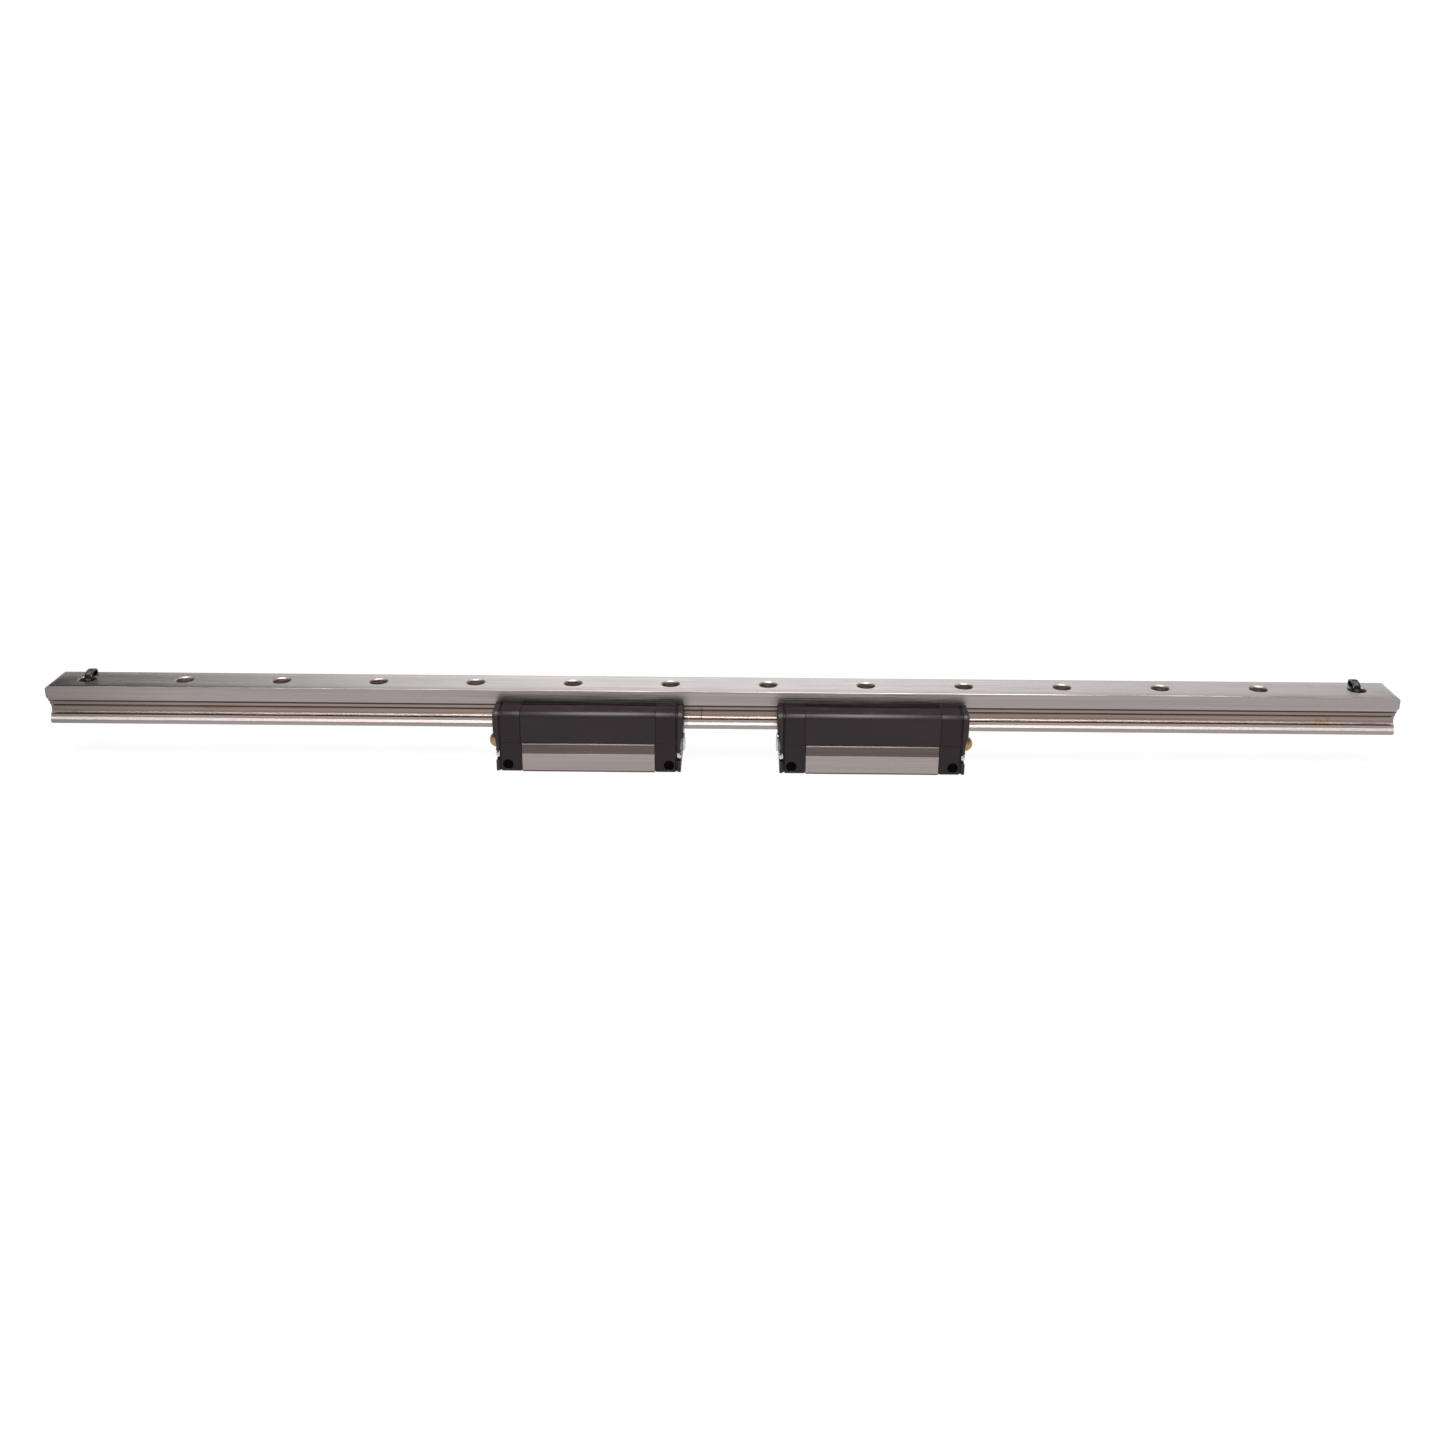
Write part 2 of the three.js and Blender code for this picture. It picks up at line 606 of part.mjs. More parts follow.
function endScrewGeometry(side) {
  const seat = SEAL_START;
  const tip = BLOCK_HALF_LENGTH - 6;
  const profile = [
    [tip, 0], [tip + 0.5, SCREW_RADIUS], [seat, SCREW_RADIUS], [seat, SCREW_HEAD_RADIUS],
    [seat + 1.4, SCREW_HEAD_RADIUS - 0.1], [seat + 2.4, 1.5], [seat + 2.4, 1], [seat + 1.2, 1],
    [seat + 1, 0],
  ];
  return turnedAlongX(profile, side * SCREW_Y, SCREW_Z, 8);
}

function sidePortPlugGeometry(side) {
  const bottom = SIDE_PORT_FACE - SIDE_PLUG_DEPTH;
  const start = side > 0 ? bottom : -SIDE_PORT_FACE;
  return rodAlongY(
    SIDE_PORT_RADIUS, start, start + SIDE_PLUG_DEPTH, SIDE_PORT_X, SIDE_PORT_Z, 12);
}

// ---------------------------------------------------------------- assembly

// Pieces are made for the +X end and the +Y side; a half turn about Z gives the opposite one.
function turned(mesh) {
  mesh.rotation.z = Math.PI;
  return mesh;
}

// The lubricated end, with the nipple, points along X in the direction of outward (1 or -1).
function carriage(name, centreX, outward) {
  const group = new THREE.Group();
  group.position.x = centreX;
  const put = (mesh, half) => group.add(half ? turned(mesh) : mesh);

  put(named(`${name}_block`, blockGeometry(), blockSteel), false);

  for (const end of ['outer', 'inner']) {
    const flip = (end === 'outer') !== (outward > 0);
    put(named(`${name}_${end}_end_cap`, endCapGeometry(), blackPlastic), flip);
    put(named(`${name}_${end}_backing_plate`, backingPlateGeometry(), plateSteel), flip);
    put(named(`${name}_${end}_end_seal`, endSealGeometry(), sealRubber), flip);
    for (const side of ['front', 'rear']) {
      const direction = (side === 'front' ? -1 : 1) * (flip ? -1 : 1);
      put(named(`${name}_${end}_${side}_end_screw`, endScrewGeometry(direction), zinc), flip);
      const plug = sidePortPlugGeometry(direction);
      put(named(`${name}_${end}_${side}_port_plug`, plug, blackPlastic), flip);
    }
  }
  put(named(`${name}_grease_nipple`, greaseNippleGeometry(), brass), outward < 0);
  put(named(`${name}_closing_plug`, portPlugGeometry(), zinc), outward > 0);

  for (const side of ['front', 'rear']) {
    const flip = side === 'front';
    put(named(`${name}_${side}_side_cover`, sideCoverGeometry(), blackPlastic), flip);
    put(named(`${name}_${side}_side_seal`, sideSealGeometry(), sealRubber), flip);
    put(named(`${name}_${side}_ball_retainer`, ballRetainerGeometry(), palePlastic), flip);
    put(named(`${name}_${side}_ball_chain`, ballChainGeometry(), ballSteel), flip);
  }
  return group;
}

function cableTie(name, x, lean) {
  const tie = named(name, cableTieGeometry(), tieNylon);
  tie.position.x = x;
  tie.rotation.z = lean;
  return tie;
}

const guide = new THREE.Group();
guide.add(named('rail', railGeometry(), railSteel));
const endHoleX = RAIL_LENGTH / 2 - RAIL_END;
guide.add(cableTie('left_cable_tie', -endHoleX, TIE_LEAN));
guide.add(cableTie('right_cable_tie', endHoleX, -TIE_LEAN));
guide.add(carriage('left', LEFT_CARRIAGE_X, -1));
guide.add(carriage('right', RIGHT_CARRIAGE_X, 1));

export default guide;
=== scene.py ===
"""Looks of a profile rail linear guide with two carriages, lying with its base face up.

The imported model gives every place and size. Outlines are in millimetres in each piece's own
frame, and turned into metres when a mesh is made.
"""

import math

import bpy
import bmesh
from mathutils import Matrix, Vector


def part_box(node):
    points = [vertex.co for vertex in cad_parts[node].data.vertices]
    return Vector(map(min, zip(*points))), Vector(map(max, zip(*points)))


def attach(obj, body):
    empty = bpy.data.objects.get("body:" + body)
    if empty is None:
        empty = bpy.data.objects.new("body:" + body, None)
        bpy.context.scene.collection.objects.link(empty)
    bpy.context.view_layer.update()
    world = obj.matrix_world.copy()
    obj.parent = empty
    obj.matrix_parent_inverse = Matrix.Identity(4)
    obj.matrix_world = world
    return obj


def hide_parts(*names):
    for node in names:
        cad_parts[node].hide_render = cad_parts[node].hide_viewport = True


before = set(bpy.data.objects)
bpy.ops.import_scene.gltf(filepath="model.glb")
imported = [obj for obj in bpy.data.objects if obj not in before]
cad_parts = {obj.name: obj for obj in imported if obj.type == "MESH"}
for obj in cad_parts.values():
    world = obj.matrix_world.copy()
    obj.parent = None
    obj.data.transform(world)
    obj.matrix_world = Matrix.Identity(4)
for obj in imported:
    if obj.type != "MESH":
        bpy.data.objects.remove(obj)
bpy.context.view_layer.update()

MM = 0.001

# ------------------------------------------------------------------ places from the frame


def in_mm(corner):
    return [value / MM for value in corner]


RAIL_LOW, RAIL_HIGH = (in_mm(c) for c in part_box("rail"))
RAIL_HALF_LENGTH = RAIL_HIGH[0]
RAIL_HALF_WIDTH = RAIL_HIGH[1]
RAIL_BASE = RAIL_HIGH[2]
RAIL_HEAD = RAIL_LOW[2]
RAIL_PITCH = 60
RAIL_END = RAIL_HALF_LENGTH - 390
HOLE_RADIUS = 5.3
COUNTERBORE_RADIUS = 7
COUNTERBORE_DEPTH = 12

# Depths of the corners of the rail's section below its base face.
FLANK_DEPTH = 9.1
NECK_START = 11.3
GROOVE_LIP = 20.9
HEAD_START = 22.2

FLANK_SLOPE = 0.55
NECK_HALF_WIDTH = 10.2
LIP_HALF_WIDTH = 11
HEAD_HALF_WIDTH = 12.2
ROW_Y = 12
ROW_Z = RAIL_BASE - 15.9
RACEWAY_RADIUS = 3.5
BALL_RADIUS = 3.175
RETURN_Y = 21.9
TURN_RADIUS = (RETURN_Y - ROW_Y) / 2


def middle_x(node):
    low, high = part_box(node)
    return (low[0] + high[0]) / 2 / MM


CARRIAGE_X = {"left": middle_x("left_block"), "right": middle_x("right_block")}
OUTWARD = {"left": -1, "right": 1}
BLOCK_HIGH = in_mm(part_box("left_block")[1])
HALF_WIDTH = BLOCK_HIGH[1]
BLOCK_HALF_LENGTH = BLOCK_HIGH[0] - CARRIAGE_X["left"]
SHELL_TOP = in_mm(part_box("left_front_side_cover")[1])[2]
COVER_HALF_LENGTH = in_mm(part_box("left_front_side_cover")[1])[0] - CARRIAGE_X["left"]
SHOULDER = 19
SHOULDER_STEP = 0.5
BAND_LOW = 12.0
BAND_HIGH = 17.7
BAND_DEPTH = 0.1
BOTTOM_EDGE = 1.2
SKIRT_START = 40.35
CAP_START = 41
CAP_END = 52.8
CAP_FLOOR = 0.5
PLATE_START = 52.9
PLATE_END = 53.7
SEAL_START = 53.8
SEAL_END = 57.5
BEYOND_SEAL = 60
PORT_Z = 9.5
PORT_RADIUS = 3.2
SCREW_Y = 26.8
SCREW_Z = 10.8
SCREW_HOLE_RADIUS = 1.7
SIDE_PORT_X = 48.8
SIDE_PORT_Z = 4.9
SIDE_PORT_RADIUS = 3.0
MOUNT_HOLE_XY = 20
BALLS_PER_CIRCUIT = 28

# ------------------------------------------------------------------ camera


def add_camera():
    """A normal lens about a metre away, a little above the rail and almost square to it."""
    elevation = math.radians(20.58)
    yaw = math.radians(0.796)
    roll = math.radians(0.235)
    data = bpy.data.cameras.new("camera")
    data.sensor_width = 36
    data.lens = 40.17
    camera = bpy.data.objects.new("camera", data)
    bpy.context.collection.objects.link(camera)
    camera.matrix_world = (
        Matrix.Translation((0.01509, -0.93598, 0.37340))
        @ Matrix.Rotation(yaw, 4, "Z")
        @ Matrix.Rotation(math.pi / 2 - elevation, 4, "X")
        @ Matrix.Rotation(roll, 4, "Z")
    )
    bpy.context.scene.camera = camera


# ------------------------------------------------------------------ node helpers


class Nodes:
    """A short way to add shader nodes and link them."""

    def __init__(self, tree):
        self.tree = tree

    def add(self, kind, inputs=None, **settings):
        node = self.tree.nodes.new(kind)
        for name, value in settings.items():
            setattr(node, name, value)
        for name, value in (inputs or {}).items():
            if isinstance(value, bpy.types.NodeSocket):
                self.tree.links.new(value, node.inputs[name])
            else:
                node.inputs[name].default_value = value
        return node

    def spread(self, value, low, high, to_low, to_high, soft=False):
        node = self.add("ShaderNodeMapRange", {
            "Value": value, "From Min": low, "From Max": high,
            "To Min": to_low, "To Max": to_high})
        node.interpolation_type = "SMOOTHSTEP" if soft else "LINEAR"
        return node.outputs["Result"]

    def math(self, operation, first, second):
        node = self.add("ShaderNodeMath", operation=operation)
        for socket, value in zip(node.inputs, (first, second)):
            if isinstance(value, bpy.types.NodeSocket):
                self.tree.links.new(value, socket)
            else:
                socket.default_value = value
        return node.outputs[0]

    def noise(self, place, scale, detail=3.0, roughness=0.55):
        node = self.add("ShaderNodeTexNoise", {
            "Vector": place, "Scale": scale, "Detail": detail, "Roughness": roughness})
        return node.outputs["Fac"]

    def stretched(self, place, scale):
        node = self.add("ShaderNodeMapping", {"Vector": place, "Scale": scale})
        return node.outputs["Vector"]

    def blend_colours(self, factor, first, second):
        node = self.add("ShaderNodeMix", data_type="RGBA")
        for index, value in ((0, factor), (6, first), (7, second)):
            if isinstance(value, bpy.types.NodeSocket):
                self.tree.links.new(value, node.inputs[index])
            else:
                node.inputs[index].default_value = value
        return node.outputs[2]


def new_material(name):
    material = bpy.data.materials.new(name)
    material.use_nodes = True
    tree = material.node_tree
    shader = tree.nodes["Principled BSDF"]
    nodes = Nodes(tree)
    place = nodes.add("ShaderNodeTexCoord").outputs["Object"]
    return material, nodes, shader, place


def connect(nodes, shader, colour, roughness, height, depth, strength=1.0):
    bump = nodes.add("ShaderNodeBump", {
        "Height": height, "Strength": strength, "Distance": depth})
    nodes.tree.links.new(colour, shader.inputs["Base Color"])
    nodes.tree.links.new(roughness, shader.inputs["Roughness"])
    nodes.tree.links.new(bump.outputs["Normal"], shader.inputs["Normal"])


def rgb(red, green, blue):
    return (red, green, blue, 1.0)


# ------------------------------------------------------------------ materials

LEFT_DARKENING_X = (-0.42, -0.33)
RUST_REACH = (0.0025, 0.0055)
SCRIBE_REACH = (0.0002, 0.0005)


def ground_steel(name, light, dark, rough_low, rough_high, stain=0.25, across=900.0,
                 relief=0.00009, left_darkening=0.0, rust_at=None, scribe_at=None):
    """Steel ground along X: long fine lines, cloudy tone, faint stains, darker towards the left
    end.

    It can have one small rust spot, at (x, z), and one thin scribed line across, at x. Both
    are places in metres.
    """
    material, nodes, shader, place = new_material(name)
    fine = nodes.noise(nodes.stretched(place, (9.0, across * 2.2, across * 2.2)), 1.0, 4.0)
    broad = nodes.noise(nodes.stretched(place, (5.0, across / 3, across / 3)), 1.0, 3.0)
    cloud = nodes.noise(nodes.stretched(place, (14.0, 60.0, 60.0)), 1.0, 4.0)
    lines = nodes.math("ADD", nodes.math("MULTIPLY", fine, 0.5),
                       nodes.math("MULTIPLY", broad, 0.5))
    tone = nodes.spread(lines, 0.36, 0.64, 0.0, 1.0)
    colour = nodes.blend_colours(tone, dark, light)
    patch = nodes.spread(cloud, 0.56, 0.78, 0.0, stain, soft=True)
    colour = nodes.blend_colours(patch, colour, rgb(*(c * 0.62 for c in dark[:3])))
    along = nodes.add("ShaderNodeSeparateXYZ", {"Vector": place}).outputs["X"]
    # Darker towards the left end of the rail.
    left_dark = nodes.spread(along, *LEFT_DARKENING_X, left_darkening, 0.0)
    colour = nodes.blend_colours(left_dark, colour, rgb(*(c * 0.25 for c in dark[:3])))
    if rust_at:
        height = nodes.add("ShaderNodeSeparateXYZ", {"Vector": place}).outputs["Z"]
        gap_x = nodes.math("ABSOLUTE", nodes.math("SUBTRACT", along, rust_at[0]), 0.0)
        gap_z = nodes.math("ABSOLUTE", nodes.math("SUBTRACT", height, rust_at[1]), 0.0)
        near = nodes.math("MULTIPLY", nodes.spread(gap_x, *RUST_REACH, 1.0, 0.0),
                          nodes.spread(gap_z, *RUST_REACH, 1.0, 0.0))
        blot = nodes.spread(nodes.noise(place, 430.0, 2.0), 0.45, 0.56, 0.0, 0.8)
        colour = nodes.blend_colours(nodes.math("MULTIPLY", near, blot), colour,
                                     rgb(0.26, 0.160, 0.040))
    if scribe_at is not None:
        gap_x = nodes.math("ABSOLUTE", nodes.math("SUBTRACT", along, scribe_at), 0.0)
        colour = nodes.blend_colours(nodes.spread(gap_x, *SCRIBE_REACH, 0.75, 0.0), colour,
                                     rgb(*(c * 0.4 for c in dark[:3])))
    rough = nodes.spread(nodes.math("ADD", lines, nodes.math("MULTIPLY", cloud, 0.4)),
                         0.5, 0.9, rough_low, rough_high)
    grind = nodes.noise(nodes.stretched(place, (16.0, 5200.0, 5200.0)), 1.0, 2.0)
    connect(nodes, shader, colour, rough, grind, relief)
    shader.inputs["Metallic"].default_value = 1.0
    return material


def plain_metal(name, light, dark, rough_low, rough_high, scale=420.0, bump=0.1):
    """Turned or plated metal with a fine mottled surface."""
    material, nodes, shader, place = new_material(name)
    mottle = nodes.noise(place, scale, 4.0)
    grain = nodes.noise(place, scale * 6, 2.0)
    colour = nodes.blend_colours(nodes.spread(mottle, 0.35, 0.65, 0.0, 1.0), dark, light)
    rough = nodes.spread(mottle, 0.3, 0.7, rough_low, rough_high)
    connect(nodes, shader, colour, rough, grain, 0.00001, bump)
    shader.inputs["Metallic"].default_value = 1.0
    return material


def moulded(name, light, dark, rough_low, rough_high, grain_scale=2600.0, bump=0.25, level=0.4,
            scratches=None):
    """Moulded plastic or rubber: fine grain, flow marks, scuffs, scratches near one height."""
    material, nodes, shader, place = new_material(name)
    grain = nodes.noise(place, grain_scale, 3.0)
    flow = nodes.noise(nodes.stretched(place, (18.0, 90.0, 90.0)), 1.0, 3.0)
    scuff = nodes.noise(nodes.stretched(place, (160.0, 700.0, 700.0)), 1.0, 5.0, 0.7)
    worn = nodes.spread(scuff, 0.62, 0.78, 0.0, 0.5, soft=True)
    colour = nodes.blend_colours(nodes.spread(flow, 0.35, 0.65, 0.0, 1.0), dark, light)
    colour = nodes.blend_colours(worn, colour, rgb(*(min(1.0, c * 2.2) for c in light[:3])))
    if scratches:
        height = nodes.add("ShaderNodeSeparateXYZ", {"Vector": place}).outputs["Z"]
        near = nodes.spread(height, scratches - 0.0006, scratches - 0.0002, 0.0, 1.0)
        streak = nodes.noise(nodes.stretched(place, (110.0, 900.0, 1.0)), 1.0, 1.0)
        ridge = nodes.math("ABSOLUTE", nodes.math("SUBTRACT", streak, 0.5), 0.0)
        thin = nodes.spread(ridge, 0.0, 0.012, 1.0, 0.0)
        where = nodes.spread(nodes.noise(nodes.stretched(place, (60.0, 200.0, 1.0)), 1.0, 2.0),
                             0.52, 0.6, 0.0, 0.6)
        marks = nodes.math("MULTIPLY", nodes.math("MULTIPLY", thin, where), near)
        colour = nodes.blend_colours(marks, colour, rgb(0.16, 0.145, 0.15))
    rough = nodes.spread(nodes.math("ADD", flow, nodes.math("MULTIPLY", scuff, 0.5)),
                         0.5, 0.95, rough_low, rough_high)
    connect(nodes, shader, colour, rough, grain, 0.00002, bump)
    shader.inputs["Specular IOR Level"].default_value = level
    return material


def make_materials():
    return {
        "rail_steel": ground_steel(
            "rail_steel", rgb(0.336, 0.299, 0.295), rgb(0.270, 0.237, 0.233), 0.10, 0.17,
            relief=0.00007, left_darkening=0.45),
        "raceway_steel": ground_steel(
            "raceway_steel", rgb(0.290, 0.228, 0.202), rgb(0.214, 0.165, 0.144), 0.16, 0.28,
            stain=0.4, across=1500.0, relief=0.00005, left_darkening=0.4, rust_at=(0.368, 0.0285),
            scribe_at=-0.0107),
        # Painted shade: dark steel on the rail flange's underside and on the block's bottom
        # chamfers, where shade falls.
        "painted_shade_steel": ground_steel(
            "painted_shade_steel", rgb(0.100, 0.082, 0.078), rgb(0.060, 0.048, 0.046), 0.35, 0.5),
        "bored_steel": plain_metal(
            "bored_steel", rgb(0.42, 0.362, 0.335), rgb(0.31, 0.262, 0.243), 0.42, 0.56,
            scale=700.0),
        "block_steel": ground_steel(
            "block_steel", rgb(0.348, 0.304, 0.284), rgb(0.282, 0.242, 0.227), 0.2, 0.32),
        # Painted shade: darker, rougher steel on the block's side band and shoulder chamfer,
        # standing in for a dark reflection there.
        "flank_shade_steel": ground_steel(
            "flank_shade_steel", rgb(0.136, 0.112, 0.104), rgb(0.100, 0.080, 0.075), 0.38, 0.50),
        "ball_steel": plain_metal(
            "ball_steel", rgb(0.62, 0.62, 0.63), rgb(0.55, 0.55, 0.56), 0.08, 0.16),
        # Painted shade: the backing plate is near black, so its seam between cap and seal reads as
        # a shadow gap.
        "plate_steel": plain_metal(
            "plate_steel", rgb(0.030, 0.028, 0.030), rgb(0.015, 0.014, 0.015), 0.4, 0.55),
        "zinc": plain_metal(
            "zinc", rgb(0.62, 0.61, 0.59), rgb(0.47, 0.46, 0.44), 0.18, 0.34),
        "brass": plain_metal(
            "brass", rgb(0.42, 0.275, 0.125), rgb(0.27, 0.170, 0.075), 0.2, 0.36),
        "black_plastic": moulded(
            "black_plastic", rgb(0.0098, 0.0032, 0.0056), rgb(0.0070, 0.0018, 0.0038),
            0.38, 0.48, level=0.28),
        "cover_plastic": moulded(
            "cover_plastic", rgb(0.0104, 0.0036, 0.0058), rgb(0.0074, 0.0020, 0.0040),
            0.32, 0.42, level=0.33, scratches=SHELL_TOP * MM),
        "plug_rubber": moulded(
            "plug_rubber", rgb(0.0016, 0.0013, 0.0015), rgb(0.0010, 0.0008, 0.0010),
            0.5, 0.6, level=0.02),
        "seal_rubber": moulded(
            "seal_rubber", rgb(0.0110, 0.0060, 0.0080), rgb(0.0070, 0.0036, 0.0050),
            0.38, 0.5, grain_scale=1800.0, bump=0.35, level=0.36),
        "pale_plastic": moulded(
            "pale_plastic", rgb(0.62, 0.59, 0.52), rgb(0.54, 0.51, 0.45), 0.4, 0.5, level=0.5),
        "cage_plastic": moulded(
            "cage_plastic", rgb(0.10, 0.24, 0.14), rgb(0.08, 0.19, 0.11), 0.35, 0.45, level=0.5),
        "tie_nylon": moulded(
            "tie_nylon", rgb(0.0060, 0.0048, 0.0054), rgb(0.0030, 0.0024, 0.0028),
            0.24, 0.36, grain_scale=1500.0, bump=0.2, level=0.22),
    }


# ------------------------------------------------------------------ mesh helpers


def new_object(name, vertices, faces):
    mesh = bpy.data.meshes.new(name)
    mesh.from_pydata([[c * MM for c in vertex] for vertex in vertices], [], faces)
    piece = bpy.data.objects.new(name, mesh)
    bpy.context.collection.objects.link(piece)
    face_outwards(piece)
    return piece


def face_outwards(piece):
    bm = bmesh.new()
    bm.from_mesh(piece.data)
    bmesh.ops.remove_doubles(bm, verts=bm.verts, dist=1e-7)
    bmesh.ops.recalc_face_normals(bm, faces=bm.faces)
    bm.to_mesh(piece.data)
    bm.free()


def bake(piece):
    """Applies the modifiers that a piece has."""
    graph = bpy.context.evaluated_depsgraph_get()
    mesh = bpy.data.meshes.new_from_object(piece.evaluated_get(graph))
    piece.modifiers.clear()
    piece.data = mesh


def combine(piece, tools, operation):
    """Boolean with several tools that don't touch each other, which are then deleted."""
    bm = bmesh.new()
    for tool in tools:
        bm.from_mesh(tool.data)
        bpy.data.objects.remove(tool)
    mesh = bpy.data.meshes.new("tool")
    bm.to_mesh(mesh)
    bm.free()
    tool = bpy.data.objects.new("tool", mesh)
    bpy.context.collection.objects.link(tool)
    modifier = piece.modifiers.new("boolean", "BOOLEAN")
    modifier.operation = operation
    modifier.solver = "EXACT"
    modifier.object = tool
    bake(piece)
    bpy.data.objects.remove(tool)
    return piece


def cut(piece, tools):
    return combine(piece, tools, "DIFFERENCE")


def rounded(corners, steps=5):
    """An outline from (x, y, radius) corners, each one rounded with an arc."""
    points = []
    count = len(corners)
    for i, (x, y, radius) in enumerate(corners):
        here = Vector((x, y))
        before = Vector(corners[i - 1][:2]) - here
        after = Vector(corners[(i + 1) % count][:2]) - here
        if radius == 0:
            points.append((x, y))
            continue
        half = before.angle(after) / 2
        middle = here + (before.normalized() + after.normalized()).normalized() * (
            radius / math.sin(half))
        first = here + before.normalized() * radius / math.tan(half) - middle
        last = here + after.normalized() * radius / math.tan(half) - middle
        turn = first.angle_signed(last)
        for step in range(steps + 1):
            spoke = first.copy()
            spoke.rotate(Matrix.Rotation(-turn * step / steps, 2))
            points.append(tuple(middle + spoke))
    return points


def mirrored(half):
    """Corners of an outline symmetric about Y = 0, from those with Y above 0."""
    return list(half) + [(-y, z, radius) for y, z, radius in reversed(half)]


def prism(name, outline, start, end):
    """An outline in Y and Z that runs along X."""
    count = len(outline)
    vertices = [(x, y, z) for x in (start, end) for y, z in outline]
    faces = [tuple(range(count)), tuple(range(count, 2 * count))]
    for i in range(count):
        j = (i + 1) % count
        faces.append((i, j, count + j, count + i))
    return new_object(name, vertices, faces)


def soften_ends(piece, width, segments=2):
    """Rounds the edges of the flat faces that close a prism."""
    bm = bmesh.new()
    bm.from_mesh(piece.data)
    lowest = min(v.co.x for v in bm.verts)
    highest = max(v.co.x for v in bm.verts)
    edges = []
    for edge in bm.edges:
        xs = [v.co.x for v in edge.verts]
        if max(xs) < lowest + 1e-6 or min(xs) > highest - 1e-6:
            edges.append(edge)
    bmesh.ops.bevel(bm, geom=edges, offset=width * MM, offset_type="OFFSET",
                    segments=segments, profile=0.5, affect="EDGES", clamp_overlap=False)
    bm.to_mesh(piece.data)
    bm.free()
    return piece


def turned(name, profile, axis, centre, sides=48):
    """A lathe-turned solid. The profile lists (distance along the axis, radius)."""
    vertices = []
    rings = []
    for along, radius in profile:
        if radius == 0:
            rings.append([len(vertices)])
            vertices.append((along, 0.0, 0.0))
            continue
        rings.append(list(range(len(vertices), len(vertices) + sides)))
        for i in range(sides):
            angle = 2 * math.pi * i / sides
            vertices.append((along, radius * math.cos(angle), radius * math.sin(angle)))
    faces = []
    for low, high in zip(rings, rings[1:]):
        for i in range(sides):
            j = (i + 1) % sides
            if len(low) == 1:
                faces.append((low[0], high[i], high[j]))
            elif len(high) == 1:
                faces.append((low[i], low[j], high[0]))
            else:
                faces.append((low[i], low[j], high[j], high[i]))
    order = {"X": (0, 1, 2), "Y": (2, 0, 1), "Z": (1, 2, 0)}[axis]
    placed = [[v[k] + centre[n] for n, k in enumerate(order)] for v in vertices]
    return new_object(name, placed, faces)


def box(name, low, high):
    (x0, y0, z0), (x1, y1, z1) = low, high
    return prism(name, [(y0, z0), (y1, z0), (y1, z1), (y0, z1)], x0, x1)


def smooth(piece, angle=28):
    piece.data.shade_smooth()
    piece.data.set_sharp_from_angle(angle=math.radians(angle))
    return piece


def paint(piece, *materials):
    piece.data.materials.clear()
    for material in materials:
        piece.data.materials.append(material)
    return piece


def arc_points(centre, radius, first, last, steps):
    """Sharp outline corners along an arc."""
    points = []
    for i in range(steps + 1):
        angle = first + (last - first) * i / steps
        points.append((centre[0] + radius * math.cos(angle),
                       centre[1] + radius * math.sin(angle), 0))
    return points


# ------------------------------------------------------------------ rail


def below(depth):
    """Height of a place that lies this deep below the base face."""
    return RAIL_BASE - depth


def rail_flank(gap=0.0):
    """Corners from the base edge down to the head, moved outwards by the gap."""
    first = math.acos((NECK_HALF_WIDTH - ROW_Y) / RACEWAY_RADIUS)
    last = 2 * math.pi - math.acos((LIP_HALF_WIDTH - ROW_Y) / RACEWAY_RADIUS)
    return [
        (RAIL_HALF_WIDTH - FLANK_SLOPE + gap, below(FLANK_DEPTH), 0.25),
        (NECK_HALF_WIDTH + gap, below(NECK_START), 0.2),
        *arc_points((ROW_Y + gap, ROW_Z), RACEWAY_RADIUS, first, last, 14),
        (LIP_HALF_WIDTH + gap, below(GROOVE_LIP), 0.2),
        (HEAD_HALF_WIDTH + gap, below(HEAD_START), 0.25),
        (HEAD_HALF_WIDTH + gap, RAIL_HEAD - gap, 0.7),
    ]


def rail_hole(x):
    """Cutter for a through hole with its counterbore and both chamfers."""
    step = RAIL_HEAD + COUNTERBORE_DEPTH
    return turned("hole", [
        (RAIL_HEAD - 1, 0), (RAIL_HEAD - 1, COUNTERBORE_RADIUS + 0.6),
        (RAIL_HEAD, COUNTERBORE_RADIUS + 0.6), (RAIL_HEAD + 0.6, COUNTERBORE_RADIUS),
        (step, COUNTERBORE_RADIUS), (step, HOLE_RADIUS), (RAIL_BASE - 0.7, HOLE_RADIUS),
        (RAIL_BASE - 0.25, HOLE_RADIUS + 0.3), (RAIL_BASE, HOLE_RADIUS + 0.7),
        (RAIL_BASE + 1, HOLE_RADIUS + 0.7), (RAIL_BASE + 1, 0)], "Z", (x, 0, 0), 40)


